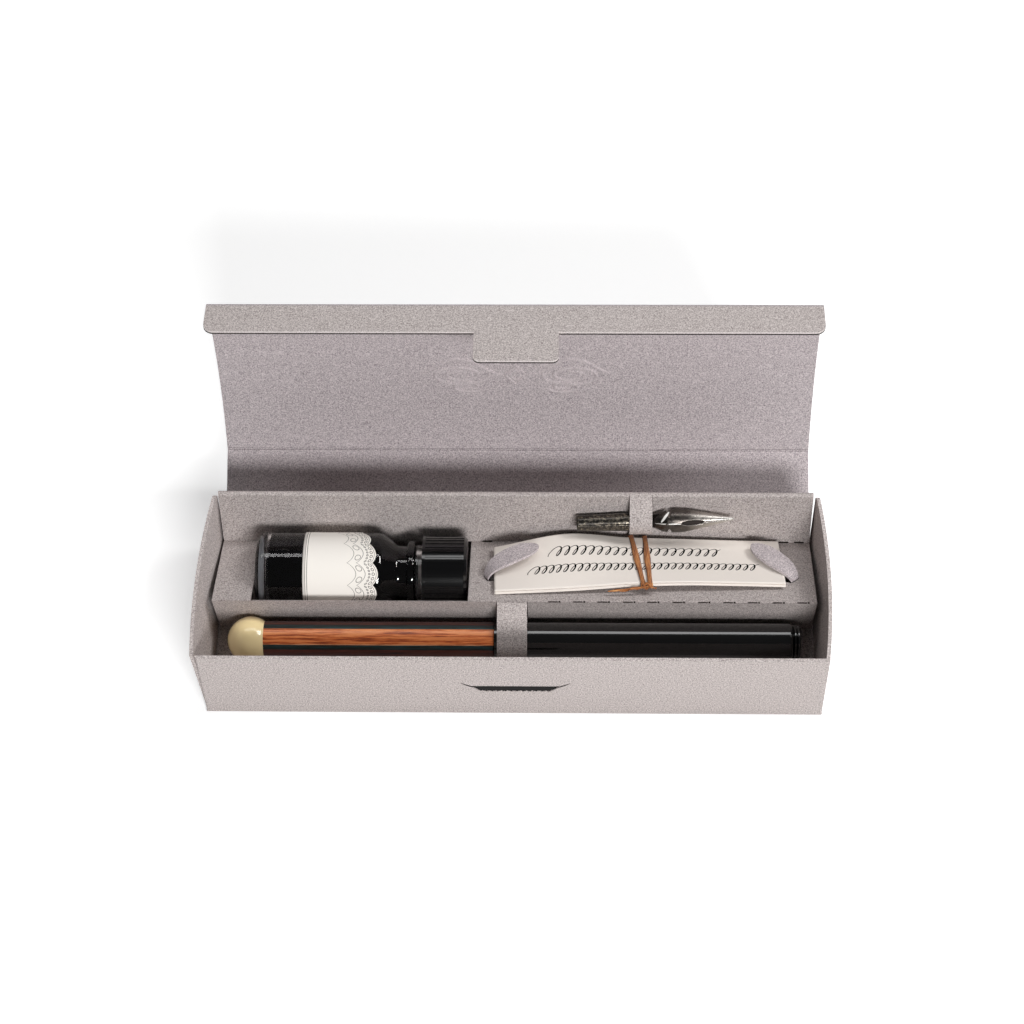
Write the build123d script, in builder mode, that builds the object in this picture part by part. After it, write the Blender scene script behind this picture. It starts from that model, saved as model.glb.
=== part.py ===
from build123d import *
from math import acos, atan2, cos, degrees, hypot, pi, radians, sin
import os

# A calligraphy set in an open folding carton: a pen, a loose nib, an ink bottle and a folded
# leaflet, held by a folded card insert.
# Frame: millimetres, origin at the centre of the carton's underside, +X to the right along the
# carton, +Y towards its hinged back wall, +Z up.

# Outer carton
box_length = 170.0
box_depth = 57.0
box_height = 28.6
board = 1.0              # carton board
fold_gap = 0.2           # left at each crease and under the closed lid
crease_radius = 0.7      # outer rounding of a folded edge
left_bow = (1.5, 2.1, -0.3)   # how far each side wall springs outwards along its top edge,
right_bow = (0.0, 1.7, 0.0)   # at its front end, in the middle and at its back end
side_back_gap = 1.5      # the side walls stop short of the back wall
wall_corner_radius = 2.0

# Lid, hinged on the back wall, which is hinged on the base
back_wall_lean = 59.7    # degrees from vertical
lid_angle = 83.2         # degrees of the lid's chord above the ground
lid_bow = 3.4            # the card springs into a shallow arch
lid_inset = 0.7          # each end of the lid from the carton's end
lid_overhang = 0.3       # the tuck flap closes in front of the front wall
flap_length = 10.3
flap_corner_radius = 3.0
lock_tongue_length = 11.0
lock_tongue_width = 23.0
lock_tongue_radius = 1.8
lock_offset = 0.8        # tongue and slot sit a little right of centre
lock_slot_width = 24.4
lock_slot_height = 2.8
lock_slot_z = 13.5
lock_slot_run = 2.8      # the slot's ends run out and up by this much as narrow cuts
lock_slot_rise = 1.7
lock_slot_cut = 0.3

# Folded card insert
card = 0.8
insert_end_gap = 0.6     # between the insert's ends and the side walls
insert_clearance = 0.3
ridge_gap = 0.2          # the fold at the insert's top lies this far below the walls' tops
valley_y = 22.2          # visible face at the fold between back panel and platform
valley_z = 10.2
crest_y = -4.8           # visible face at the fold between platform and riser
crest_z = 20.4
riser_foot_y = -1.5

# Pen: ball, laminated wood, lacquered barrel and a metal mouth that takes the nib
pen_left_gap = 4.2       # from the side walls to the ball and to the pen's mouth
pen_right_gap = 4.8
pen_y = -10.05
pen_ball_radius = 6.5
pen_radius = 5.2
pen_wood_length = 64.0
pen_shoulder_radius = 1.1
pen_spigot_radius = 3.9
pen_spigot_length = 1.9
pen_ring_radius = 4.85
pen_ring_bead = 0.95
pen_edge_break = 0.3
clip_steel = 0.25
clip_length = 11.0
clip_slots = 4
clip_slot_width = 0.8
clip_slot_share = 0.8    # of the clip's length that is slotted
seat_clearance = 0.15    # what rests on a curved face stays this far off its seat

# Strap over the pen, slit out of the riser and the floor
strap_x = -0.4
strap_width = 8.6
strap_clearance = 0.35
strap_foot_y = -11.6

# Loose nib and the loop that holds it against the back panel
nib_gap = 66.6           # from the right side wall to its open end
nib_rise = 10.1          # of its axis above the valley fold, along the back panel
nib_turn = 2.7           # degrees, its tip lying a little higher
nib_roll = 27.0          # degrees, its blade faces up more than the back panel does
nib_end_radius = 2.25    # its heel widens from its open end
nib_heel_radius = 2.5
nib_heel_length = 14.8
nib_neck_run = 5.8       # from the heel to the narrow neck, then on to the shoulder,
nib_shoulder_run = 4.2   # the widest place, the taper and the tip
nib_wide_run = 4.0
nib_taper_run = 6.8
nib_tip_run = 8.3
nib_neck_radius = 1.7
nib_shoulder_radius = 3.1
nib_wide_radius = 3.35
nib_taper_radius = 2.2
nib_tip_radius = 0.25
nib_steel = 0.35
nib_opening = 0.4        # the blade's edges stand this far above its axis
nib_eye_length = 6.8
nib_eye_width = 1.5
nib_slit = 0.16
nib_clearance = 0.3
loop_offset = 17.9       # from the nib's end
loop_width = 6.6
loop_foot_rise = 3.0     # where the loop springs from the back panel

# Ink bottle, lying in the well of the insert, with a screw cap
bottle_left_gap = 11.85  # from the left side wall to the bottle's base
bottle_radius = 11.5
bottle_body_length = 34.8
bottle_shoulder_length = 4.7
bottle_neck_radius = 7.9
bottle_neck_length = 2.65
bottle_bead_radius = 9.3
bottle_bead_length = 2.35
bottle_finish_radius = 8.2
bottle_finish_length = 12.2
bottle_wall = 1.6
bottle_base = 3.0
bottle_heel_radius = 2.2
bottle_shoulder_radius = 2.4
bottle_neck_fillet = 1.6
bottle_bore_radius = 5.6
punt_radius = 7.0
punt_depth = 0.8
cap_radius = 10.7
cap_gap = 2.0            # between the neck bead and the cap's rim
cap_length = 12.45
cap_top = 1.2
cap_clearance = 0.3
cap_edge = 0.8           # bevel round the cap's top
cap_ribs = 40
cap_rib_depth = 0.35
cap_rib_share = 0.8      # of the ribs' pitch that is groove
liner = 0.8
label_start = 13.5
label_length = 19.6
label_thickness = 0.15
label_arc = 320.0        # degrees, and where its seam lies
label_seam = -35.0
well_clearance = 0.6     # between the bottle and the ends of its well

# Leaflet, tied with raffia, and the two leaf-shaped tongues of the platform that hold it
leaflet_left_gap = 7.4   # from the bottle's cap
leaflet_right_gap = 9.2  # from the right side wall
leaflet_t = 15.0         # its middle, measured along the platform from the crest fold
leaflet_depth = 20.9
leaflet_turn = 2.3       # degrees, lying a little askew
leaflet_thickness = 0.9
leaflet_clearance = 0.3
leaflet_shares = (-1.0, -0.45, -0.05, 0.35, 0.65, 1.0)  # of its half length, where it is
leaflet_front_rises = (0.0, 0.7, 1.7, 1.8, 1.3, 0.6)    # lifted by these at its front edge
leaflet_back_rises = (0.4, 4.7, 3.0, 2.0, 1.3, 0.6)     # and by these at its back edge
raffia_fronts = (0.8, 2.7)     # from the leaflet's middle to each turn at its front edge
raffia_backs = (-1.4, 2.5)     # and at its back edge
raffia_thickness = 0.45
raffia_width = 1.5
raffia_bend = 0.6
raffia_knot_radius = 1.1
raffia_tail_length = 10.5
raffia_tail_radius = 0.35
tongue_length = 16.5
tongue_width = 6.4
tongue_root_width = 2.6
tongue_slit = 0.3
left_tongue_angle = 26.0
right_tongue_angle = 135.0
left_tongue_gap = 2.4    # from the leaflet's ends to the tongues' roots
right_tongue_gap = 3.4
left_tongue_t = 11.0
right_tongue_t = 10.3
left_tongue_arch = ((1.8, 2.4), (6.0, 4.3), (11.0, 5.3), (16.6, 5.6))   # run and rise of
right_tongue_arch = ((1.8, 1.6), (6.0, 2.8), (11.0, 3.4), (16.6, 3.6))  # each underside

os.makedirs("parts", exist_ok=True)

half_depth = box_depth / 2
half_length = box_length / 2
inner_half = half_length - board
lid_width = box_length - 2 * lid_inset
wall_top = box_height - fold_gap
along_x = (1, 0, 0)


def write(build, name):
    """Label one finished piece and write its STEP file."""
    build.part.label = name
    export_step(build.part, f"parts/{name}.step")


# ---------------------------------------------------------------- outer carton

with BuildPart() as box_base:
    with BuildSketch():
        with Locations((0, -half_depth)):
            Rectangle(box_length, box_depth - board - fold_gap, align=(Align.CENTER, Align.MIN))
    extrude(amount=board)
    under = box_base.edges().group_by(Axis.Z)[0]
    fillet(under.filter_by(Axis.Y) + [under.sort_by(Axis.Y)[0]], crease_radius)
write(box_base, "box_base")

with BuildPart() as box_front_wall:
    with BuildSketch(Plane.XZ.offset(half_depth)):
        with Locations((0, board)):
            Rectangle(box_length, wall_top - board, align=(Align.CENTER, Align.MIN))
    extrude(amount=-board)
    fillet(box_front_wall.edges().filter_by(Axis.Z).group_by(Axis.Y)[0], crease_radius)
    with BuildSketch(Plane.XZ.offset(half_depth)):
        with BuildLine():
            left_end = lock_offset - lock_slot_width / 2
            right_end = lock_offset + lock_slot_width / 2
            slot_low = lock_slot_z - lock_slot_height / 2
            slot_high = lock_slot_z + lock_slot_height / 2
            end_z = slot_high + lock_slot_rise
            Polyline(
                (left_end + lock_slot_height, slot_low),
                (right_end - lock_slot_height, slot_low),
                (right_end, slot_high - lock_slot_cut),
                (right_end + lock_slot_run, end_z - lock_slot_cut),
                (right_end + lock_slot_run, end_z),
                (right_end - lock_slot_cut, slot_high),
                (left_end + lock_slot_cut, slot_high),
                (left_end - lock_slot_run, end_z),
                (left_end - lock_slot_run, end_z - lock_slot_cut),
                (left_end, slot_high - lock_slot_cut),
                close=True,
            )
        make_face()
    extrude(amount=-board, mode=Mode.SUBTRACT)
write(box_front_wall, "box_front_wall")

side_front_y = -half_depth + board
side_back_y = half_depth - board - side_back_gap
side_middle_y = (side_front_y + side_back_y) / 2
for name, side, bow in (("box_left_wall", -1, left_bow), ("box_right_wall", 1, right_bow)):
    outside = side * half_length
    inside = side * inner_half
    with BuildPart() as side_wall:
        for height, bulges in ((board, (0, 0, 0)), (wall_top, [side * out for out in bow])):
            front, middle, back = bulges
            with BuildSketch(Plane.XY.offset(height)):
                with BuildLine():
                    Line((inside + front, side_front_y), (outside + front, side_front_y))
                    Line((outside + back, side_back_y), (inside + back, side_back_y))
                    if middle:
                        ThreePointArc(
                            (outside + front, side_front_y),
                            (outside + middle, side_middle_y),
                            (outside + back, side_back_y),
                        )
                        ThreePointArc(
                            (inside + back, side_back_y),
                            (inside + middle, side_middle_y),
                            (inside + front, side_front_y),
                        )
                    else:
                        Line((outside, side_front_y), (outside, side_back_y))
                        Line((inside, side_back_y), (inside, side_front_y))
                make_face()
        loft()
        corner = side_wall.edges().filter_by(Axis.X).group_by(Axis.Z)[-1].sort_by(Axis.Y)[-1]
        fillet(corner, wall_corner_radius)
    write(side_wall, name)

# The creases are lines along X on the card's inner faces.
base_crease_y = half_depth - board
base_crease_z = board
back_wall_rise = box_height - board
lean = radians(back_wall_lean)
back_out = (0, cos(lean), -sin(lean))
back_plane = Plane(origin=(0, base_crease_y, base_crease_z), x_dir=back_out, z_dir=along_x)

with BuildPart() as box_back_wall:
    with BuildSketch(back_plane):
        with Locations((0, fold_gap)):
            Rectangle(
                board,
                back_wall_rise - 2 * fold_gap,
                align=(Align.MIN, Align.MIN),
            )
    extrude(amount=lid_width / 2, both=True)
write(box_back_wall, "box_back_wall")

lid_crease_y = base_crease_y + back_wall_rise * sin(lean)
lid_crease_z = base_crease_z + back_wall_rise * cos(lean)
lid_length = box_depth - board + lid_overhang
tilt = radians(lid_angle)
lid_out = (0, sin(tilt), -cos(tilt))
lid_plane = Plane(origin=(0, lid_crease_y, lid_crease_z), x_dir=lid_out, z_dir=along_x)

with BuildPart() as lid_panel:
    with BuildSketch(lid_plane):
        with BuildLine():
            ThreePointArc((0, fold_gap), (lid_bow, lid_length / 2), (0, lid_length - fold_gap))
            Line((0, lid_length - fold_gap), (board, lid_length - fold_gap))
            ThreePointArc(
                (board, lid_length - fold_gap),
                (lid_bow + board, lid_length / 2),
                (board, fold_gap),
            )
            Line((board, fold_gap), (0, fold_gap))
        make_face()
    extrude(amount=lid_width / 2, both=True)
write(lid_panel, "lid_panel")

flap_crease_y = lid_crease_y + lid_length * cos(tilt)
flap_crease_z = lid_crease_z + lid_length * sin(tilt)
flap_plane = Plane(
    origin=(0, flap_crease_y, flap_crease_z),
    x_dir=along_x,
    z_dir=(0, cos(tilt), sin(tilt)),
)

with BuildPart() as lid_tuck_flap:
    with BuildSketch(flap_plane):
        with BuildLine():
            half_lid = lid_width / 2
            half_tongue = lock_tongue_width / 2
            tip = flap_length + lock_tongue_length
            FilletPolyline(
                (-half_lid, -fold_gap),
                (-half_lid, -flap_length),
                (lock_offset - half_tongue, -flap_length),
                (lock_offset - half_tongue, -tip),
                (lock_offset + half_tongue, -tip),
                (lock_offset + half_tongue, -flap_length),
                (half_lid, -flap_length),
                (half_lid, -fold_gap),
                close=True,
                radius=[
                    0,
                    flap_corner_radius,
                    0,
                    lock_tongue_radius,
                    lock_tongue_radius,
                    0,
                    flap_corner_radius,
                    0,
                ],
            )
        make_face()
    extrude(amount=board)
write(lid_tuck_flap, "lid_tuck_flap")

# ---------------------------------------------------------------- folded card insert

insert_length = 2 * (inner_half - insert_end_gap)
ridge_height = wall_top - ridge_gap
rear_y = half_depth - board - insert_clearance
ridge_radius = card + seat_clearance / 3
ridge_y = rear_y - ridge_radius
ridge_z = ridge_height - ridge_radius
valley = (valley_y, valley_z)
crest = (crest_y, crest_z)
riser_foot = (riser_foot_y, board + card)
floor_front = (-half_depth + board + insert_clearance, board + card)
back_top = (ridge_y - ridge_radius, ridge_z)


def shifted(start, end, distance):
    """The line from start to end, moved sideways to its right."""
    dy = end[0] - start[0]
    dz = end[1] - start[1]
    length = hypot(dy, dz)
    side = (dz / length * distance, -dy / length * distance)
    return (start[0] + side[0], start[1] + side[1]), (dy / length, dz / length)


def hidden_corner(before, corner, after):
    """Where the hidden faces of two card panels meet at their shared fold."""
    (first, u) = shifted(before, corner, -card)
    (second, v) = shifted(corner, after, -card)
    cross = u[0] * v[1] - u[1] * v[0]
    t = ((second[0] - first[0]) * v[1] - (second[1] - first[1]) * v[0]) / cross
    return (first[0] + u[0] * t, first[1] + u[1] * t)


back_top_hidden = (back_top[0] + card, ridge_z)
valley_hidden = hidden_corner(back_top, valley, crest)
crest_hidden = hidden_corner(valley, crest, riser_foot)
foot_hidden = hidden_corner(crest, riser_foot, floor_front)


def panel(*corners):
    """Section of one flat panel of the insert between two folds."""
    with BuildSketch(Plane.YZ) as section:
        with BuildLine():
            Polyline(*corners, close=True)
        make_face()
    return section.sketch


def tangent_angle(point, centre, radius, side):
    """Angle, about the centre, where a line from the point touches the circle."""
    dy = point[0] - centre[0]
    dz = point[1] - centre[1]
    return atan2(dz, dy) + side * acos(radius / hypot(dy, dz))


def on_circle(centre, radius, angle):
    return (centre[0] + radius * cos(angle), centre[1] + radius * sin(angle))


def strap_over(x, start, centre, radius, end):
    """Section at x of a card strap pulled from start round the front of a circle to end."""
    first = tangent_angle(start, centre, radius, 1)
    last = tangent_angle(end, centre, radius, -1) + 2 * pi
    with BuildSketch(Plane.YZ.offset(x)) as section:
        with BuildLine():
            Line(start, on_circle(centre, radius, first))
            ThreePointArc(
                on_circle(centre, radius, first),
                on_circle(centre, radius, (first + last) / 2),
                on_circle(centre, radius, last),
            )
            Line(on_circle(centre, radius, last), end)
        trace(line_width=card)
    return section.sketch


back_lean = atan2(back_top[0] - valley_y, ridge_z - valley_z)
back_normal = (0, -cos(back_lean), sin(back_lean))
back_panel_plane = Plane(origin=(0, valley_y, valley_z), x_dir=along_x, z_dir=back_normal)
back_panel_length = hypot(back_top[0] - valley_y, ridge_z - valley_z)

# The nib lies along the back panel, its tip a little higher than its heel. The loop that
# holds it is pulled out of the panel and leaves the ridge in a straight line to the nib.
nib_x = inner_half - nib_gap
nib_lift = nib_heel_radius + nib_clearance
nib_origin = back_panel_plane.from_local_coords((nib_x, nib_rise, nib_lift))
nib_ahead = back_panel_plane.from_local_coords(
    (nib_x + cos(radians(nib_turn)), nib_rise + sin(radians(nib_turn)), nib_lift)
)
nib_along = nib_ahead - nib_origin
loop_x = nib_x + loop_offset
nib_in_loop = nib_origin + nib_along * (loop_offset / nib_along.X)
nib_centre = (nib_in_loop.Y, nib_in_loop.Z)
loop_radius = nib_lift + card / 2
ridge_centre = (ridge_y, ridge_z)
ridge_middle = ridge_radius - card / 2
loop_leave = tangent_angle(ridge_centre, nib_centre, loop_radius - ridge_middle, 1)

with BuildPart() as insert_rear_panel:
    with BuildSketch(Plane.YZ):
        with BuildLine():
            Polyline(
                (rear_y - card, ridge_z),
                (rear_y - card, board),
                (rear_y, board),
                (rear_y, ridge_z),
            )
            ThreePointArc((rear_y, ridge_z), (ridge_y, ridge_height), back_top)
            Line(back_top, back_top_hidden)
            ThreePointArc(
                back_top_hidden, (ridge_y, ridge_height - card), (rear_y - card, ridge_z)
            )
        make_face()
    extrude(amount=insert_length / 2, both=True)
    with BuildSketch(Plane.YZ.offset(loop_x)):
        with BuildLine():
            Polyline(
                ridge_centre,
                on_circle(ridge_centre, 2 * ridge_radius, loop_leave),
                on_circle(ridge_centre, 2 * ridge_radius, (loop_leave + pi) / 2),
                on_circle(ridge_centre, 2 * ridge_radius, pi),
                close=True,
            )
        make_face()
    extrude(amount=loop_width / 2, both=True, mode=Mode.SUBTRACT)
write(insert_rear_panel, "insert_rear_panel")

with BuildPart() as insert_back_panel:
    extrude(
        panel(back_top, back_top_hidden, valley_hidden, valley),
        amount=insert_length / 2,
        both=True,
    )
    with BuildSketch(back_panel_plane):
        with Locations((loop_x, loop_foot_rise)):
            Rectangle(loop_width, back_panel_length, align=(Align.CENTER, Align.MIN))
    extrude(amount=card, both=True, mode=Mode.SUBTRACT)
write(insert_back_panel, "insert_back_panel")

slope = atan2(crest_z - valley_z, valley_y - crest_y)
platform_normal = (0, sin(slope), cos(slope))
platform_plane = Plane(origin=(0, crest_y, crest_z), x_dir=along_x, z_dir=platform_normal)

bottle_length = (
    bottle_body_length
    + bottle_shoulder_length
    + bottle_neck_length
    + bottle_bead_length
    + cap_gap
    + cap_length
)
bottle_x = bottle_left_gap - inner_half
well_left = bottle_x - well_clearance
well_right = bottle_x + bottle_length + well_clearance
leaflet_left = bottle_x + bottle_length + leaflet_left_gap
leaflet_right = inner_half - leaflet_right_gap
leaflet_length = leaflet_right - leaflet_left
leaflet_x = (leaflet_left + leaflet_right) / 2
tongues = (
    ("left_tongue", leaflet_left - left_tongue_gap, left_tongue_t, left_tongue_angle),
    ("right_tongue", leaflet_right + right_tongue_gap, right_tongue_t, right_tongue_angle),
)


def leaf(plane, extra):
    """Outline of a tongue from its root along the plane's x, grown by extra."""
    root = tongue_root_width / 2 + extra
    half = tongue_width / 2 + extra
    with BuildSketch(plane) as outline:
        with BuildLine():
            Spline(
                (0, root),
                (tongue_length * 0.3, half * 0.92),
                (tongue_length * 0.6, half),
                (tongue_length * 0.9, half * 0.62),
                (tongue_length + extra, 0),
                (tongue_length * 0.9, -half * 0.62),
                (tongue_length * 0.6, -half),
                (tongue_length * 0.3, -half * 0.92),
                (0, -root),
            )
            Line((0, -root), (0, root))
        make_face()
    return outline.sketch


def turned_on_platform(x, t, angle):
    """Plane on the platform at x and t, its x axis turned by the angle."""
    origin = platform_plane.from_local_coords((x, t, 0))
    ahead = platform_plane.from_local_coords((x + cos(radians(angle)), t + sin(radians(angle)), 0))
    return Plane(origin=origin, x_dir=ahead - origin, z_dir=platform_normal)


platform_corners = (valley, valley_hidden, crest_hidden, crest)
with BuildPart() as insert_left_ledge:
    extrude(panel(*platform_corners), amount=insert_length / 2, both=True)
    split(bisect_by=Plane.YZ.offset(well_left), keep=Keep.BOTTOM)
write(insert_left_ledge, "insert_left_ledge")

with BuildPart() as insert_platform:
    extrude(panel(*platform_corners), amount=insert_length / 2, both=True)
    split(bisect_by=Plane.YZ.offset(well_right), keep=Keep.TOP)
    for name, *root in tongues:
        extrude(
            leaf(turned_on_platform(*root), tongue_slit),
            amount=2 * card,
            both=True,
            mode=Mode.SUBTRACT,
        )
write(insert_platform, "insert_platform")

riser_panel = panel(crest, crest_hidden, foot_hidden, riser_foot)
strap_left = strap_x - strap_width / 2
strap_right = strap_x + strap_width / 2
for name, cut, keep in (
    ("insert_left_riser", strap_left, Keep.BOTTOM),
    ("insert_right_riser", strap_right, Keep.TOP),
):
    with BuildPart() as insert_riser:
        extrude(riser_panel, amount=insert_length / 2, both=True)
        split(bisect_by=Plane.YZ.offset(cut), keep=keep)
    write(insert_riser, name)

with BuildPart() as insert_floor:
    extrude(
        panel(riser_foot, foot_hidden, (floor_front[0], board), floor_front),
        amount=insert_length / 2,
        both=True,
    )
    with BuildSketch():
        with Locations((strap_x, strap_foot_y)):
            Rectangle(strap_width, box_depth, align=(Align.CENTER, Align.MIN))
    extrude(amount=box_height, mode=Mode.SUBTRACT)
write(insert_floor, "insert_floor")

pen_z = board + card + pen_ball_radius + seat_clearance
strap_radius = pen_radius + strap_clearance + card / 2
strap_end = (strap_foot_y + board, board + card / 2 + seat_clearance)
crest_middle = (
    (crest[0] + crest_hidden[0]) / 2 - seat_clearance,
    (crest[1] + crest_hidden[1]) / 2,
)
with BuildPart() as pen_strap:
    extrude(
        strap_over(
            strap_x,
            crest_middle,
            (pen_y, pen_z),
            strap_radius,
            strap_end,
        ),
        amount=strap_width / 2 - seat_clearance,
        both=True,
    )
write(pen_strap, "pen_strap")

loop_foot = back_panel_plane.from_local_coords((0, loop_foot_rise + insert_clearance, -card / 2))
with BuildPart() as nib_loop:
    extrude(
        strap_over(
            loop_x,
            on_circle(ridge_centre, ridge_middle, loop_leave),
            nib_centre,
            loop_radius,
            (loop_foot.Y, loop_foot.Z),
        ),
        amount=loop_width / 2 - seat_clearance,
        both=True,
    )
write(nib_loop, "nib_loop")

# ---------------------------------------------------------------- pen

pen_ball_x = pen_left_gap + pen_ball_radius - inner_half
pen_plane = Plane(origin=(pen_ball_x, pen_y, pen_z), x_dir=along_x, z_dir=(0, -1, 0))
pen_axis = Axis((pen_ball_x, pen_y, pen_z), along_x)
pen_ball_flat = (pen_ball_radius**2 - pen_radius**2) ** 0.5
pen_wood_end = pen_ball_flat + pen_wood_length
pen_end = inner_half - pen_right_gap - pen_ball_x
pen_shoulder = pen_end - pen_spigot_length
nib_bore_radius = nib_heel_radius + nib_clearance

with BuildPart() as pen_ball:
    with BuildSketch(pen_plane):
        with BuildLine():
            cut_angle = degrees(acos(pen_ball_flat / pen_ball_radius))
            CenterArc((0, 0), pen_ball_radius, 180, cut_angle - 180)
            Polyline((pen_ball_flat, pen_radius), (pen_ball_flat, 0), (-pen_ball_radius, 0))
        make_face()
    revolve(axis=pen_axis)
write(pen_ball, "pen_ball")

with BuildPart() as pen_wood:
    with BuildSketch(pen_plane):
        with Locations((pen_ball_flat, 0)):
            Rectangle(pen_wood_length, pen_radius, align=(Align.MIN, Align.MIN))
    revolve(axis=pen_axis)
    chamfer(pen_wood.edges().filter_by(GeomType.CIRCLE).sort_by(Axis.X)[-1], pen_edge_break)
write(pen_wood, "pen_wood")

with BuildPart() as pen_barrel:
    with BuildSketch(pen_plane):
        with BuildLine():
            FilletPolyline(
                (pen_wood_end, 0),
                (pen_wood_end, pen_radius),
                (pen_shoulder, pen_radius),
                (pen_shoulder, pen_spigot_radius),
                (pen_end, pen_spigot_radius),
                (pen_end, nib_bore_radius),
                (pen_end - nib_heel_length, nib_bore_radius),
                (pen_end - nib_heel_length, 0),
                close=True,
                radius=[0, 0, pen_shoulder_radius, 0, 0, 0, 0, 0],
            )
        make_face()
    revolve(axis=pen_axis)
write(pen_barrel, "pen_barrel")

with BuildPart() as pen_mouth_ring:
    with BuildSketch(pen_plane):
        bevel = pen_ring_bead / 3
        with BuildLine():
            Polyline(
                (pen_shoulder, pen_spigot_radius),
                (pen_shoulder, pen_ring_radius - bevel),
                (pen_shoulder + bevel, pen_ring_radius),
                (pen_shoulder + pen_ring_bead - bevel, pen_ring_radius),
                (pen_shoulder + pen_ring_bead, pen_ring_radius - bevel),
                (pen_shoulder + pen_ring_bead + bevel, pen_ring_radius),
                (pen_shoulder + 2 * pen_ring_bead - bevel, pen_ring_radius),
                (pen_shoulder + 2 * pen_ring_bead, pen_ring_radius - bevel),
                (pen_shoulder + 2 * pen_ring_bead, pen_spigot_radius),
                close=True,
            )
        make_face()
    revolve(axis=pen_axis)
write(pen_mouth_ring, "pen_mouth_ring")

mouth_plane = Plane(origin=(pen_ball_x + pen_end, pen_y, pen_z), z_dir=along_x)
with BuildPart() as pen_nib_clip:
    with BuildSketch(mouth_plane):
        Circle(nib_bore_radius)
        Circle(nib_bore_radius - clip_steel, mode=Mode.SUBTRACT)
    extrude(amount=-clip_length)
    with BuildSketch(mouth_plane):
        with PolarLocations(nib_bore_radius, clip_slots):
            Rectangle(nib_bore_radius, clip_slot_width)
    extrude(amount=-clip_length * clip_slot_share, mode=Mode.SUBTRACT)
write(pen_nib_clip, "pen_nib_clip")

# ---------------------------------------------------------------- nib

panel_out = Vector(*back_normal)
nib_face = panel_out * cos(radians(nib_roll)) + panel_out.cross(nib_along) * sin(radians(nib_roll))
nib_plane = Plane(origin=nib_origin, x_dir=nib_along, z_dir=nib_face)
nib_side = Plane(origin=nib_origin, x_dir=nib_along, z_dir=nib_along.cross(nib_face))
nib_neck_x = nib_heel_length + nib_neck_run
nib_shoulder_x = nib_neck_x + nib_shoulder_run
nib_widest_x = nib_shoulder_x + nib_wide_run
nib_taper_x = nib_widest_x + nib_taper_run
nib_tip_x = nib_taper_x + nib_tip_run
nib_stations = (
    (nib_heel_length, nib_heel_radius),
    (nib_neck_x, nib_neck_radius),
    (nib_shoulder_x, nib_shoulder_radius),
    (nib_widest_x, nib_wide_radius),
    (nib_taper_x, nib_taper_radius),
    (nib_tip_x, nib_tip_radius + nib_steel),
)
nib_ends = ((1, 0), (1, -0.12))  # directions of its outline at the heel and at the tip
nib_inside = [(x, radius - nib_steel) for x, radius in nib_stations]

with BuildPart() as nib:
    with BuildSketch(nib_side):
        with BuildLine():
            Spline(*nib_stations, tangents=nib_ends)
            Spline(*nib_inside, tangents=nib_ends)
            Line((0, nib_end_radius), nib_stations[0])
            Line((0, nib_end_radius), (0, nib_end_radius - nib_steel))
            Line((0, nib_end_radius - nib_steel), nib_inside[0])
            Line(nib_inside[-1], nib_stations[-1])
        make_face()
    revolve(axis=Axis(nib_origin, nib_along))
    # The blade is open below: only the upper part of the rolled sheet is left past the heel.
    with BuildSketch(nib_side):
        with BuildLine():
            Polyline(
                (nib_heel_length + 3 * nib_steel, -2 * nib_wide_radius),
                (nib_heel_length + 3 * nib_steel, -nib_heel_radius),
                (nib_neck_x, 0),
                (nib_widest_x, nib_opening),
                (nib_tip_x + nib_steel, -nib_tip_radius),
                (nib_tip_x + nib_steel, -2 * nib_wide_radius),
                close=True,
            )
        make_face()
    extrude(amount=2 * nib_wide_radius, both=True, mode=Mode.SUBTRACT)
    # Pierced eye and the slit that runs from it to the point.
    with BuildSketch(nib_plane):
        with Locations((nib_widest_x + nib_eye_length / 2, 0)):
            Ellipse(nib_eye_length / 2, nib_eye_width / 2)
            Rectangle(nib_tip_x - nib_widest_x, nib_slit, align=(Align.MIN, Align.CENTER))
    extrude(amount=2 * nib_wide_radius, mode=Mode.SUBTRACT)
write(nib, "nib")

# ---------------------------------------------------------------- ink bottle

bottle_outer = bottle_radius + label_thickness
bottle_z = board + bottle_outer + seat_clearance
riser_at_bottle = riser_foot_y + (crest_y - riser_foot_y) * (bottle_z - board) / (crest_z - board)
bottle_y = riser_at_bottle + card + insert_clearance + bottle_outer
bottle_plane = Plane(origin=(bottle_x, bottle_y, bottle_z), x_dir=along_x, z_dir=(0, -1, 0))
bottle_axis = Axis((bottle_x, bottle_y, bottle_z), along_x)
shoulder_end = bottle_body_length + bottle_shoulder_length
neck_end = shoulder_end + bottle_neck_length
bead_end = neck_end + bottle_bead_length
finish_end = bead_end + bottle_finish_length
cap_start = bead_end + cap_gap
cap_end = cap_start + cap_length
cavity_radius = bottle_radius - bottle_wall
bead_rounding = bottle_bead_length / 3

with BuildPart() as bottle_glass:
    with BuildSketch(bottle_plane):
        with BuildLine():
            FilletPolyline(
                (punt_depth, 0),
                (punt_depth, punt_radius - punt_depth),
                (0, punt_radius),
                (0, bottle_radius),
                (bottle_body_length, bottle_radius),
                (shoulder_end, bottle_neck_radius),
                (neck_end, bottle_neck_radius),
                (neck_end, bottle_bead_radius),
                (bead_end, bottle_bead_radius),
                (bead_end, bottle_finish_radius),
                (finish_end, bottle_finish_radius),
                (finish_end, bottle_bore_radius),
                (shoulder_end, bottle_bore_radius),
                (bottle_body_length, cavity_radius),
                (bottle_base, cavity_radius),
                (bottle_base, 0),
                close=True,
                radius=[
                    0,
                    0,
                    0,
                    bottle_heel_radius,
                    bottle_shoulder_radius,
                    bottle_neck_fillet,
                    0,
                    bead_rounding,
                    bead_rounding,
                    0,
                    0,
                    0,
                    0,
                    0,
                    0,
                    0,
                ],
            )
        make_face()
    revolve(axis=bottle_axis)
write(bottle_glass, "bottle_glass")

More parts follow.
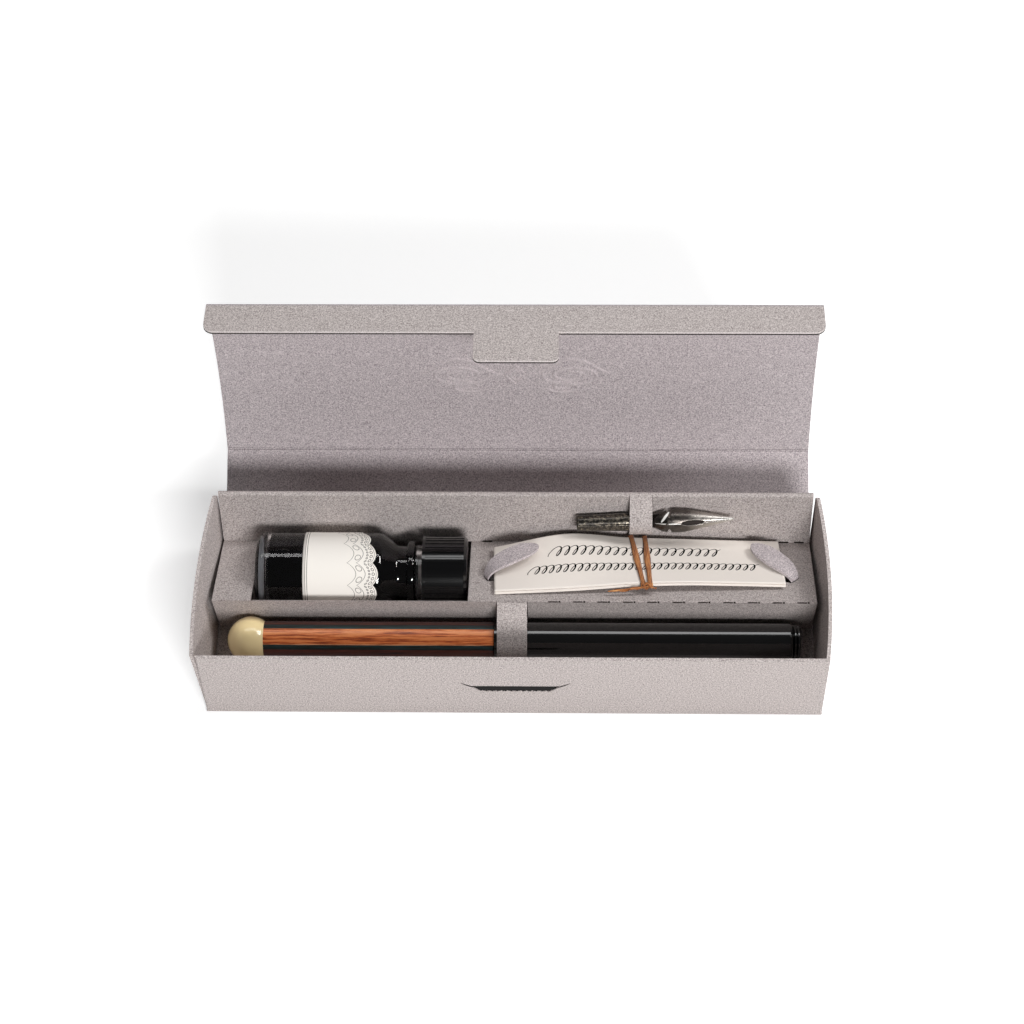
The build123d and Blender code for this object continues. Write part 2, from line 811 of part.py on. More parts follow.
with BuildPart() as ink:
    with BuildSketch(bottle_plane):
        with BuildLine():
            Polyline(
                (bottle_base, 0),
                (bottle_base, cavity_radius),
                (bottle_body_length, cavity_radius),
                (shoulder_end, bottle_bore_radius),
                (bead_end, bottle_bore_radius),
                (bead_end, 0),
                close=True,
            )
        make_face()
    revolve(axis=bottle_axis)
write(ink, "ink")

label_plane = Plane(
    origin=(bottle_x, bottle_y, bottle_z),
    x_dir=along_x,
    z_dir=(0, -sin(radians(label_seam)), cos(radians(label_seam))),
)
with BuildPart() as bottle_label:
    with BuildSketch(label_plane):
        with Locations((label_start, bottle_radius)):
            Rectangle(label_length, label_thickness, align=(Align.MIN, Align.MIN))
    revolve(axis=bottle_axis, revolution_arc=label_arc)
write(bottle_label, "bottle_label")

cap_bore_radius = bottle_finish_radius + cap_clearance
with BuildPart() as bottle_cap:
    with BuildSketch(bottle_plane):
        with BuildLine():
            Polyline(
                (cap_end, 0),
                (cap_end, cap_radius - cap_edge),
                (cap_end - cap_edge, cap_radius),
                (cap_start, cap_radius),
                (cap_start, cap_bore_radius),
                (cap_end - cap_top, cap_bore_radius),
                (cap_end - cap_top, 0),
                close=True,
            )
        make_face()
    revolve(axis=bottle_axis)
    rib_plane = Plane(
        origin=(bottle_x + cap_start + cap_edge, bottle_y, bottle_z), z_dir=along_x
    )
    with BuildSketch(rib_plane):
        with PolarLocations(cap_radius + cap_rib_depth / 2, cap_ribs):
            Rectangle(2 * cap_rib_depth, pi * cap_radius / cap_ribs * cap_rib_share)
    extrude(amount=cap_length - 2 * cap_edge, mode=Mode.SUBTRACT)
write(bottle_cap, "bottle_cap")

with BuildPart() as cap_liner:
    liner_plane = Plane(origin=(bottle_x + cap_end - cap_top, bottle_y, bottle_z), z_dir=along_x)
    with BuildSketch(liner_plane):
        Circle(cap_bore_radius)
    extrude(amount=-liner)
write(cap_liner, "cap_liner")

# ---------------------------------------------------------------- leaflet

leaflet_plane = turned_on_platform(leaflet_x, leaflet_t, leaflet_turn)


def leaflet_curve(rises):
    """Points of the underside of one long edge of the leaflet, lifted by rises."""
    half = leaflet_length / 2
    return [(share * half, leaflet_clearance + rise) for share, rise in zip(leaflet_shares, rises)]


def leaflet_profile(height, rises):
    """Section of the springy leaflet: card-thick, lifted by rises along its length."""
    low = leaflet_curve(rises)
    high = [(x, z + leaflet_thickness) for x, z in low]
    section = Plane(
        origin=leaflet_plane.from_local_coords((0, height, 0)),
        x_dir=leaflet_plane.x_dir,
        z_dir=-leaflet_plane.y_dir,
    )
    with BuildSketch(section) as profile:
        with BuildLine():
            Spline(*low)
            Line(low[-1], high[-1])
            Spline(*reversed(high))
            Line(high[0], low[0])
        make_face()
    return profile.sketch


with BuildPart() as leaflet:
    front_edge = leaflet_profile(-leaflet_depth / 2, leaflet_front_rises)
    back_edge = leaflet_profile(leaflet_depth / 2, leaflet_back_rises)
    loft([front_edge.face(), back_edge.face()], ruled=True)
write(leaflet, "leaflet")


def height_at(curve, x):
    """Height of a curve that runs along X where it passes x, found by halving."""
    low, high = 0.0, 1.0
    while high - low > 1e-6:
        middle = (low + high) / 2
        if (curve @ middle).X < x:
            low = middle
        else:
            high = middle
    return (curve @ low).Y


def raffia_turn(front, back):
    """Section of one flat turn of raffia round the leaflet, between two points under it."""
    across = (back - front).length
    turn_plane = Plane(
        origin=front,
        x_dir=back - front,
        z_dir=(back - front).cross(Vector(platform_normal)),
    )
    space = seat_clearance + raffia_thickness / 2
    with BuildSketch(turn_plane) as turn:
        with BuildLine():
            FilletPolyline(
                (-space, -space),
                (across + space, -space),
                (across + space, leaflet_thickness + space),
                (-space, leaflet_thickness + space),
                close=True,
                radius=raffia_bend,
            )
        trace(line_width=raffia_thickness)
    return turn.sketch


front_curve = Spline(*leaflet_curve(leaflet_front_rises))
back_curve = Spline(*leaflet_curve(leaflet_back_rises))
turn_fronts = [
    leaflet_plane.from_local_coords((x, -leaflet_depth / 2, height_at(front_curve, x)))
    for x in raffia_fronts
]
turn_backs = [
    leaflet_plane.from_local_coords((x, leaflet_depth / 2, height_at(back_curve, x)))
    for x in raffia_backs
]

with BuildPart() as raffia_tie:
    for front, back in zip(turn_fronts, turn_backs):
        extrude(raffia_turn(front, back), amount=raffia_width / 2, both=True)
    knot_x = sum(raffia_fronts) / 2
    knot_t = -leaflet_depth / 2 - seat_clearance - raffia_knot_radius
    knot_height = height_at(front_curve, knot_x)
    knot = leaflet_plane.from_local_coords((knot_x, knot_t, knot_height))
    with Locations(knot):
        Sphere(raffia_knot_radius)
    tail_end = leaflet_plane.from_local_coords(
        (knot_x - raffia_tail_length, knot_t, leaflet_clearance + raffia_knot_radius)
    )
    with BuildSketch(Plane(origin=knot, z_dir=tail_end - knot)):
        Circle(raffia_tail_radius)
    extrude(amount=raffia_tail_length)
write(raffia_tie, "raffia_tie")

for (name, *place), arch in zip(tongues, (left_tongue_arch, right_tongue_arch)):
    root = turned_on_platform(*place)
    underside = [(tongue_slit, 0), *arch]
    topside = [(run, rise + card) for run, rise in underside]
    with BuildPart() as tongue:
        with BuildSketch(Plane(origin=root.origin, x_dir=root.x_dir, z_dir=-root.y_dir)):
            with BuildLine():
                Spline(*underside)
                Line(underside[-1], topside[-1])
                Spline(*reversed(topside))
                Line(topside[0], underside[0])
            make_face()
        extrude(amount=tongue_width, both=True)
        extrude(leaf(root, 0), amount=2 * tongue_width, mode=Mode.INTERSECT)
    write(tongue, name)
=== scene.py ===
from math import cos, pi, radians, sin, tau

import bpy
import numpy as np
from mathutils import Matrix


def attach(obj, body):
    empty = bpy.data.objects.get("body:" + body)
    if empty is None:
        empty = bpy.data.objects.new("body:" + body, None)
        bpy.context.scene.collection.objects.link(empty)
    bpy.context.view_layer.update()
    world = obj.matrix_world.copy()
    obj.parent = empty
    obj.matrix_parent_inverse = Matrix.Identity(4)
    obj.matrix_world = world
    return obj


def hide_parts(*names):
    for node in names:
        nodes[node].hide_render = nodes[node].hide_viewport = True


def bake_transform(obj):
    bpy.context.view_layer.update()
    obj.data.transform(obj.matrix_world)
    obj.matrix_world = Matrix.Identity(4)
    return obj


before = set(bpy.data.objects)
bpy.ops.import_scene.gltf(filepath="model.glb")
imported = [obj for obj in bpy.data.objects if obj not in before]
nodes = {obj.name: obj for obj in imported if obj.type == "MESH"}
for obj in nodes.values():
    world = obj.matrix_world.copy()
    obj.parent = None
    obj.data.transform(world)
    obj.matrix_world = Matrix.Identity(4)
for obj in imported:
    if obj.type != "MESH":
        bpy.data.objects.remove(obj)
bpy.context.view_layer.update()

# Camera: looks down into the open carton from the front, a little to its right, with a
# short telephoto lens.
camera_azimuth = radians(2.50)
camera_elevation = radians(55.11)
camera_roll = radians(-1.84)
camera_place = (0.01621, -0.36722, 0.58384)
focal_length = 85.53
film_width = 36.0
forward = np.array(
    [
        -sin(camera_azimuth) * cos(camera_elevation),
        cos(camera_azimuth) * cos(camera_elevation),
        -sin(camera_elevation),
    ]
)
level = np.array([cos(camera_azimuth), sin(camera_azimuth), 0.0])
upright = np.cross(level, forward)
across = cos(camera_roll) * level + sin(camera_roll) * upright
upwards = cos(camera_roll) * upright - sin(camera_roll) * level
camera = bpy.data.objects.new("camera", bpy.data.cameras.new("camera"))
camera.data.lens = focal_length
camera.data.sensor_width = film_width
camera.data.clip_start = 0.01
camera_turn = Matrix(np.column_stack([across, upwards, -forward]).tolist()).to_4x4()
camera.matrix_world = Matrix.Translation(camera_place) @ camera_turn
scene = bpy.context.scene
scene.collection.objects.link(camera)
scene.camera = camera
scene.view_settings.view_transform = "Standard"


# Table top and studio: matt white paper that keeps the carton's soft shadow, a soft lamp high
# on the right, a long narrow one behind and above, and a strong one in front. What lies
# around is dim, so that the carton's hollows stay dark, but shows white to the camera.
white = (1.0, 1.0, 1.0, 1.0)
paper_white = (0.86, 0.86, 0.86, 1.0)
paper_glow = 0.46
dim_surroundings = 0.08
floor_reach = 4.0
lamp_aim = (0.0, 0.0, 0.02)


def linear(hex_colour):
    """Linear colour of an sRGB hex value such as '#c8c0bc'."""
    value = np.array([int(hex_colour[k : k + 2], 16) for k in (1, 3, 5)]) / 255.0
    bent = np.where(value <= 0.04045, value / 12.92, ((value + 0.055) / 1.055) ** 2.4)
    return (*bent.tolist(), 1.0)


def put(tree, kind, inputs=None, stops=None, **settings):
    """Add a node: settings are its properties, inputs are links or numbers, stops a ramp."""
    node = tree.nodes.new(kind)
    for key, value in settings.items():
        setattr(node, key, value)
    for key, value in (inputs or {}).items():
        if isinstance(value, bpy.types.NodeSocket):
            tree.links.new(value, node.inputs[key])
        else:
            node.inputs[key].default_value = value
    for index, (place, colour) in enumerate(stops or ()):
        points = node.color_ramp.elements
        point = points[index] if index < 2 else points.new(place)
        point.position = place
        point.color = linear(colour)
    return node


def blank(name):
    """New material with an empty node tree, and its output node."""
    material = bpy.data.materials.new(name)
    material.use_nodes = True
    material.node_tree.nodes.clear()
    return material, material.node_tree, put(material.node_tree, "ShaderNodeOutputMaterial")


paper_floor, tree, output = blank("white background paper")
rays = put(tree, "ShaderNodeLightPath").outputs
seen = rays["Is Camera Ray"]
for ray in ("Is Glossy Ray", "Is Transmission Ray"):
    seen = put(tree, "ShaderNodeMath", {0: seen, 1: rays[ray]}, operation="MAXIMUM").outputs[0]
lift = put(tree, "ShaderNodeMath", {0: seen, 1: paper_glow}, operation="MULTIPLY")
matt = put(tree, "ShaderNodeBsdfDiffuse", {"Color": paper_white})
glow = put(tree, "ShaderNodeEmission", {"Color": white, "Strength": lift.outputs[0]})
both = put(tree, "ShaderNodeAddShader", {0: matt.outputs[0], 1: glow.outputs[0]})
tree.links.new(both.outputs[0], output.inputs["Surface"])
floor_mesh = bpy.data.meshes.new("floor")
floor_mesh.from_pydata(
    [(x * floor_reach, y * floor_reach, 0.0) for x, y in ((-1, -1), (1, -1), (1, 1), (-1, 1))],
    [],
    [(0, 1, 2, 3)],
)
floor_mesh.materials.append(paper_floor)
floor = bpy.data.objects.new("floor", floor_mesh)
scene.collection.objects.link(floor)

for name, place, size, power in (
    ("key_lamp", (0.80, 0.25, 0.95), (0.40, 0.40), 6.4),
    ("top_lamp", (-0.05, 0.40, 1.10), (1.10, 0.20), 2.6),
    ("front_lamp", (0.30, -1.05, 0.80), (0.50, 0.26), 14.0),
):
    lamp = bpy.data.lights.new(name, "AREA")
    lamp.shape = "RECTANGLE"
    lamp.size, lamp.size_y = size
    lamp.energy = power
    holder = bpy.data.objects.new(name, lamp)
    back = np.array(place) - np.array(lamp_aim)
    back /= np.linalg.norm(back)
    flat = np.cross([0.0, 0.0, 1.0], back)
    flat /= np.linalg.norm(flat)
    facing = Matrix(np.column_stack([flat, np.cross(back, flat), back]).tolist()).to_4x4()
    holder.matrix_world = Matrix.Translation(place) @ facing
    scene.collection.objects.link(holder)

scene.world = bpy.data.worlds.new("studio")
scene.world.use_nodes = True
tree = scene.world.node_tree
tree.nodes.clear()
rays = put(tree, "ShaderNodeLightPath").outputs
around = put(tree, "ShaderNodeBackground", {"Color": white, "Strength": dim_surroundings})
behind = put(tree, "ShaderNodeBackground", {"Color": white, "Strength": 1.0})
mixed = put(
    tree,
    "ShaderNodeMixShader",
    {0: rays["Is Camera Ray"], 1: around.outputs[0], 2: behind.outputs[0]},
)
put(tree, "ShaderNodeOutputWorld", {"Surface": mixed.outputs[0]})

# Carton: one sheet of uncoated recycled grey board, 1 mm thick, die-cut, creased and folded.
# The pulp is full of pale and dark fibre flecks and has no gloss.
mm = 0.001
grain_width = 0.38
speck_width = 0.33
weld_digits = 4


def surface(tree, output, inputs):
    """Give a material its Principled surface."""
    shader = put(tree, "ShaderNodeBsdfPrincipled", inputs)
    tree.links.new(shader.outputs[0], output.inputs["Surface"])


def even(name, colour, roughness):
    """Material of one even colour, for cut edges and for painted shade and painted highlights."""
    material, tree, output = blank(name)
    surface(tree, output, {"Base Color": linear(colour), "Roughness": roughness})
    return material


def grey_board(name, pale, dark, fleck):
    """Recycled board: even pulp in a salt-and-pepper of pale and dark fibre ends."""
    material, tree, output = blank(name)
    place = put(tree, "ShaderNodeTexCoord").outputs["Object"]
    grain = put(
        tree,
        "ShaderNodeTexNoise",
        {"Vector": place, "Scale": 1 / (grain_width * mm), "Detail": 3.0, "Roughness": 0.85},
    )
    pulp = put(
        tree,
        "ShaderNodeValToRGB",
        {"Fac": grain.outputs["Fac"]},
        stops=[(0.38, dark), (0.60, pale)],
    )
    speck = put(
        tree,
        "ShaderNodeTexNoise",
        {"Vector": place, "Scale": 1 / (speck_width * mm), "Detail": 1.0, "Distortion": 0.6},
    )
    specks = put(
        tree,
        "ShaderNodeMapRange",
        {"Value": speck.outputs["Fac"], "From Min": 0.64, "From Max": 0.72, "To Max": 0.6},
    )
    colour = put(
        tree,
        "ShaderNodeMix",
        {"Factor": specks.outputs[0], 6: pulp.outputs[0], 7: linear(fleck)},
        data_type="RGBA",
    )
    tooth = put(
        tree,
        "ShaderNodeBump",
        {"Strength": 0.6, "Distance": 0.06 * mm, "Height": grain.outputs["Fac"]},
    )
    surface(
        tree,
        output,
        {
            "Base Color": colour.outputs[2],
            "Roughness": 0.92,
            "Specular IOR Level": 0.25,
            "Normal": tooth.outputs[0],
        },
    )
    return material


def dress(node, material):
    """Give every material slot of a CAD node's object the same material."""
    for slot in nodes[node].material_slots:
        slot.material = material
    if not nodes[node].material_slots:
        nodes[node].data.materials.append(material)


outer_board = grey_board("uncoated recycled grey board", "#ddd4d1", "#918785", "#5f5755")
for node in ("box_base", "box_front_wall", "box_left_wall", "box_right_wall", "lid_tuck_flap"):
    dress(node, outer_board)

# Back wall and lid panel: the same board seen on its inner liner, a little darker and cooler.
# They and the tuck flap turn on three creases, each filled with bent board.
liner_and_shade_board = grey_board("grey board inner liner, and painted shade on the tongues", "#d8cecf", "#8f868a", "#5c5556")
for node in ("box_back_wall", "lid_panel"):
    dress(node, liner_and_shade_board)


def skin(name, grids, material, wrap=(False, False), smooth=True, charts=None):
    """Mesh over grids of points, a face between each four neighbours; wrap joins an edge.

    Points of a grid that meet, as at a pole, become one. Charts are pairs of pattern
    coordinates in mm, one pair for each point, for the piece's UV map."""
    points, faces, picked, first, start = [], [], [], 0, 0
    for grid in grids:
        rows, columns = grid.shape[:2]
        row, column = np.meshgrid(
            np.arange(rows if wrap[0] else rows - 1),
            np.arange(columns if wrap[1] else columns - 1),
            indexing="ij",
        )
        below = (row + 1) % rows
        beside = (column + 1) % columns
        corners = (
            row * columns + column,
            below * columns + column,
            below * columns + beside,
            row * columns + beside,
        )
        quads = np.stack(corners, axis=-1).reshape(-1, 4)
        flat = grid.reshape(-1, 3)
        _, alone, same = np.unique(
            np.round(flat, weld_digits), axis=0, return_index=True, return_inverse=True
        )
        for quad, ends in zip(quads.tolist(), same.ravel()[quads].tolist()):
            kept = [k for k in range(4) if ends[k] != ends[k - 1]]
            if len(kept) > 2 and len(set(ends)) == len(kept):
                faces.append([first + ends[k] for k in kept])
                picked.extend(start + quad[k] for k in kept)
        points.append(flat[alone])
        first += len(alone)
        start += rows * columns
    mesh = bpy.data.meshes.new(name)
    mesh.from_pydata((np.vstack(points) * mm).tolist(), [], faces)
    if charts is not None:
        layer = mesh.uv_layers.new(name="pattern")
        layer.data.foreach_set("uv", charts.reshape(-1, 2)[picked].ravel())
    if smooth:
        mesh.shade_smooth()
    mesh.materials.append(material)
    piece = bpy.data.objects.new(name, mesh)
    scene.collection.objects.link(piece)
    return piece


board = 1.0
lid_width = 168.6
lean = radians(59.7)
tilt = radians(83.2)
base_crease = np.array([27.5, 1.0])
lid_crease = base_crease + 27.6 * np.array([sin(lean), cos(lean)])
lid_length = 56.3
flap_crease = lid_crease + lid_length * np.array([cos(tilt), sin(tilt)])


def crease(name, centre, first, last, reach):
    """Bent board at a crease: a wedge about the crease from one panel's outside to the next.

    The wedge is a fan of board thickness between two directions, drawn out along X."""
    turn = np.linspace(first, last, 17)
    rim = centre + board * np.column_stack([np.cos(turn), np.sin(turn)])
    before = rim[0] + reach * np.array([sin(first), -cos(first)])
    after = rim[-1] + reach * np.array([-sin(last), cos(last)])
    start = centre + reach * np.array([sin(first), -cos(first)])
    end = centre + reach * np.array([-sin(last), cos(last)])
    ring = np.vstack([end, after, rim[::-1], before, start])
    half = lid_width / 2 * np.array([-1.0, -1.0, 1.0, 1.0])
    grid = np.empty((4, len(ring), 3))
    grid[..., 0] = half[:, None]
    grid[..., 1:] = ring
    grid[0, :, 1:] = grid[3, :, 1:] = ring.mean(axis=0)
    piece = skin(name, [grid], liner_and_shade_board, wrap=(False, True), smooth=False)
    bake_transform(piece)


crease("base_fold", base_crease, -pi / 2, -lean, 0.25)
crease("lid_fold", lid_crease, -lean, tilt - pi / 2, 0.25)
crease("flap_fold", flap_crease, tilt - pi / 2, tilt, 0.25)

# Blind ornament on the inside of the lid: plain scrolls either side of a lozenge, pressed
# into the board from outside, so they stand a hair proud with no ink.
lid_bow = 3.4
bow_radius = (lid_length**2 / 4 + lid_bow**2) / (2 * lid_bow)
bow_half = np.arcsin(lid_length / 2 / bow_radius)
relief_width = 0.6
relief_height = 0.5
ornament_place = 27.5
spray_lift = 6.5
scrolls = ((16.0, ornament_place, 10.5, 2.2), (13.5, 23.0, 6.0, 1.6))


def on_lid(x, along, height):
    """Points of the lid's bowed inner face: x, a way up the arc, and a height off the face."""
    turn = along / bow_radius - bow_half
    radius = bow_radius - height
    chord = lid_length / 2 + radius * np.sin(turn)
    bow = radius * np.cos(turn) - bow_radius * cos(bow_half)
    y = lid_crease[0] + chord * cos(tilt) + bow * sin(tilt)
    z = lid_crease[1] + chord * sin(tilt) - bow * cos(tilt)
    return np.stack(np.broadcast_arrays(x, y, z), axis=-1)


def pressed_line(x, along):
    """Raised line along a path on the lid: a low half-round ridge that tapers at its ends."""
    way = np.linspace(0.0, 1.0, len(x))
    taper = np.minimum(1.0, 6.0 * np.minimum(way, 1.0 - way) + 0.05)[:, None]
    dx, ds = np.gradient(x), np.gradient(along)
    size = np.hypot(dx, ds)
    across = np.linspace(-1.0, 1.0, 9)
    half = relief_width * taper * across
    rise = relief_height * taper * (1.0 - across**2) - 0.02
    return on_lid(
        x[:, None] - half * (ds / size)[:, None],
        along[:, None] + half * (dx / size)[:, None],
        rise,
    )


turn = np.linspace(0.0, 1.0, 90)
ornament = []
for side in (-1.0, 1.0):
    for middle, height, span, curls in scrolls:
        angle = curls * tau * (turn - 0.35)
        swell = span * (1.0 - 0.78 * turn)
        ornament.append(
            pressed_line(
                side * (middle + swell * np.cos(angle) * 0.9),
                height + swell * np.sin(angle) * 0.42,
            )
        )
    spray = ornament_place + spray_lift * np.sin(pi * (turn - 0.04)) ** 2
    ornament.append(pressed_line(side * (2.0 + 26.0 * turn), spray))
for size in (3.6, 2.2):
    corner = tau * turn
    pinch = (np.abs(np.cos(corner)) + np.abs(np.sin(corner))) ** -1
    lozenge = ornament_place + size * np.sin(corner) * pinch
    ornament.append(pressed_line(size * 0.8 * np.cos(corner) * pinch, lozenge))
pressed_board = grey_board("pressed grey board", "#d6cccd", "#a89ea1", "#857c7f")
blind_ornament = skin("blind_ornament", ornament, pressed_board)
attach(blind_ornament, "lid")

# Cut edges: where a knife has gone through the board its edge is dark and fibrous. Along the tuck
# flap the dark lower part of the cut face is partly that edge and partly painted shadow under the
# flap's rim. The paler band above it is painted light on the rim. The slot is filled with painted
# shade, and the lid's fold has a darker line along its crease.
cut_edge_and_shade = even("cut edge of grey board, and painted shade", "#2d2623", 0.95)
flap_length = 10.3
flap_corner = 3.0
tongue_length = 11.0
tongue_width = 23.0
tongue_corner = 1.8
lock_offset = 0.8
edge_proud = 0.02


def rounded(corner_x, corner_w, radius, first):
    """Quarter circle that rounds a corner, from the direction first, clockwise."""
    turn = first - np.linspace(0.0, pi / 2, 9)
    return np.column_stack([corner_x + radius * np.cos(turn), corner_w + radius * np.sin(turn)])


half_lid = lid_width / 2
tip = flap_length + tongue_length
tongue_left = lock_offset - tongue_width / 2
tongue_right = lock_offset + tongue_width / 2
flap_outline = np.vstack(
    [
        [(-half_lid, 0.5)],
        rounded(-half_lid + flap_corner, flap_length - flap_corner, flap_corner, pi),
        [(tongue_left, flap_length)],
        rounded(tongue_left + tongue_corner, tip - tongue_corner, tongue_corner, pi),
        rounded(tongue_right - tongue_corner, tip - tongue_corner, tongue_corner, pi / 2),
        [(tongue_right, flap_length)],
        rounded(half_lid - flap_corner, flap_length - flap_corner, flap_corner, pi / 2),
        [(half_lid, 0.5)],
    ]
)


def flap_band(low, high, proud):
    """Band along the flap's edge between two heights in its thickness, just off the board."""
    run = np.gradient(flap_outline, axis=0)
    run = run / np.linalg.norm(run, axis=1)[:, None]
    out = flap_outline + proud * np.column_stack([-run[:, 1], run[:, 0]])
    height = np.array([low, high])
    y = flap_crease[0] - out[:, 1:] * sin(tilt) + height * cos(tilt)
    z = flap_crease[1] + out[:, 1:] * cos(tilt) + height * sin(tilt)
    return np.stack(np.broadcast_arrays(out[:, :1], y, z), axis=-1)


# Dark lower band of the flap's cut face: partly the cut edge, partly painted shadow under the rim.
flap_edge = skin("flap_cut_edge_and_shadow", [flap_band(0.0, 0.42, edge_proud)], cut_edge_and_shade, smooth=False)
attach(flap_edge, "flap")
# Pale upper band of the flap's cut face: painted light on the rim.
painted_light_rim = grey_board("painted light on the flap's rim", "#efe8e5", "#cfc6c3", "#a8a09d")
flap_painted_rim = skin("flap_painted_rim", [flap_band(0.62, 1.0, edge_proud)], painted_light_rim, smooth=False)
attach(flap_painted_rim, "flap")

score_reach = 0.32
score_proud = 0.03
score = np.array(
    [
        lid_crease - score_reach * np.array([sin(lean), cos(lean)]),
        lid_crease,
        lid_crease + score_reach * np.array([cos(tilt), sin(tilt)]),
    ]
)
score += score_proud * np.array([-1.0, 0.35])
ends = np.empty((2, 3, 3))
ends[..., 0] = (lid_width / 2 * np.array([-1.0, 1.0]))[:, None]
ends[..., 1:] = score
# A darker strip of board laid along the inside of the lid's crease.
crease_line_board = grey_board("darker grey board in the lid's crease", "#8b8183", "#5e5658", "#3f393a")
lid_score = skin("lid_score", [ends], crease_line_board, smooth=False)
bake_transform(lid_score)

slot_z = 13.5
slot_height = 2.8
slot_width = 24.4
slot_run = 2.8
slot_rise = 1.7
shade_depth = 0.12
shade_steps = 160
front_y = -28.5
slot_low, slot_high = slot_z - slot_height / 2, slot_z + slot_height / 2
slot_half = slot_width / 2 - 0.4
# The slot's opening is a dark sheet just behind the front face, with a ragged lower edge, and dark
# strips lie on its turned-up ends. All of it is painted shade for the shaded inside of the box.
sheet_x = np.linspace(lock_offset - slot_half, lock_offset + slot_half, shade_steps)
ragged = 0.17 * np.sin(3.7 * sheet_x) + 0.12 * np.sin(8.3 * sheet_x + 1.0) + 0.15
ramped = np.clip((slot_width / 2 - np.abs(sheet_x - lock_offset)) / slot_height, 0.0, 1.0)
shade_sheet = np.empty((shade_steps, 2, 3))
shade_sheet[..., 0] = sheet_x[:, None]
shade_sheet[..., 1] = front_y + shade_depth
shade_sheet[:, 1, 2] = slot_high - 0.02
shade_sheet[:, 0, 2] = slot_high - (slot_high - slot_low) * ramped + ragged * ramped
slits = []
for side in (-1.0, 1.0):
    way = np.linspace(0.0, 1.0, 12)
    x = lock_offset + side * (slot_width / 2 - 0.6 + (slot_run + 0.6) * way)
    grid = np.empty((12, 2, 3))
    grid[..., 0] = x[:, None]
    grid[..., 1] = front_y - edge_proud
    grid[:, 0, 2] = slot_high - 0.25 + (slot_rise + 0.2) * way**1.2
    grid[:, 1, 2] = grid[:, 0, 2] - 0.42 * (1.0 - way**4)
    slits.append(grid if side < 0 else grid[:, ::-1])
painted_slot_shade = even("painted shade in the slot", "#0d0b0a", 1.0)
slot_shade = skin("slot_painted_shade", [shade_sheet] + slits, painted_slot_shade, smooth=False)
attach(slot_shade, "tray")

# Insert: one folded sheet of the same board, a little lighter, with perforated folds.
insert_board = grey_board("grey board insert", "#cfc6c3", "#857c7a", "#554e4c")
for node in (
    "insert_rear_panel",
    "insert_back_panel",
    "insert_left_ledge",
    "insert_platform",
    "insert_left_riser",
    "insert_right_riser",
    "insert_floor",
    "pen_strap",
    "nib_loop",
):
    dress(node, insert_board)
# The tongues, cut from the insert, take the darker liner board instead. This is painted shade, since
# they lie in shade over the leaflet.
for node in ("left_tongue", "right_tongue"):
    dress(node, liner_and_shade_board)

# Perforations of the insert's folds: short cuts through the card, each ending in a small round hole.
# They are drawn as dark dashes along the crest and in the valley, which are painted shade of the
# openings together with their cut edges.
crest = np.array([-4.8, 20.4])
valley = np.array([22.2, 10.2])
slope = np.arctan2(crest[1] - valley[1], valley[0] - crest[0])
riser_foot = np.array([-1.5, 1.8])
cut_width = 0.36
cut_length = 3.0
cut_proud = 0.03
hole_length = 0.55
crest_cuts = (9.4, 16.2, 23.0, 30.0, 36.6, 43.6, 50.6, 57.5, 64.2, 71.0, 77.8)
valley_cuts = (-9.6, 74.6, 79.0)
back_panel_rise = np.array([3.3, 17.15])


def dashes(fold, first_way, second_way, places, length, width):
    """Narrow strips bent over a fold, one at each place, rounded off at their ends."""
    way = np.linspace(0.0, 1.0, 13)
    half = width * np.sqrt(np.maximum(0.0, 1.0 - (2.0 * way - 1.0) ** 8))
    up = -(first_way + second_way)
    up = up / np.hypot(*up) * cut_proud
    strips = []
    for place in places:
        grid = np.empty((len(way), 3, 3))
        grid[..., 0] = (place + length * way)[:, None]
        grid[:, 0, 1:] = fold + up + half[:, None] * first_way
        grid[:, 1, 1:] = fold + up
        grid[:, 2, 1:] = fold + up + half[:, None] * second_way
        strips.append(grid)
    return strips


down_platform = np.array([cos(slope), -sin(slope)])
down_riser = (riser_foot - crest) / np.hypot(*(riser_foot - crest))
cuts = dashes(crest, down_riser, down_platform, crest_cuts, cut_length, cut_width)
holes = [place + cut_length for place in crest_cuts]
cuts += dashes(crest, down_riser, down_platform, holes, hole_length, 1.5 * cut_width)
up_back = back_panel_rise / np.hypot(*back_panel_rise)
in_valley = dashes(valley, -down_platform, up_back, valley_cuts, cut_length, cut_width)
for grid in in_valley:
    grid[..., 1:] += 2.0 * cut_proud * (up_back - down_platform)
perforations = skin("fold_perforations", cuts + in_valley, cut_edge_and_shade)
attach(perforations, "tray")

# Penholder: a lacquered wooden ball, a shaft of dyed veneers glued in layers, a barrel in
# gloss black lacquer and a beaded ring at the mouth.
pen_y = -10.05
pen_z = 8.45
wood_radius = 5.6
veneer_way = (0.0, 0.80, 0.60)


def lacquer(name, colour, roughness, coat):
    """Even glossy coat on a turned form."""
    material, tree, output = blank(name)
    surface(
        tree,
        output,
        {
            "Base Color": linear(colour),
            "Roughness": roughness,
            "Coat Weight": coat,
            "Coat Roughness": 0.05,
        },
    )
    return material


dress("pen_ball", lacquer("cream lacquer on beech", "#ffe8b0", 0.28, 0.6))
black_lacquer = lacquer("black piano lacquer", "#060607", 0.16, 0.8)
dress("pen_barrel", black_lacquer)
dress("pen_mouth_ring", black_lacquer)

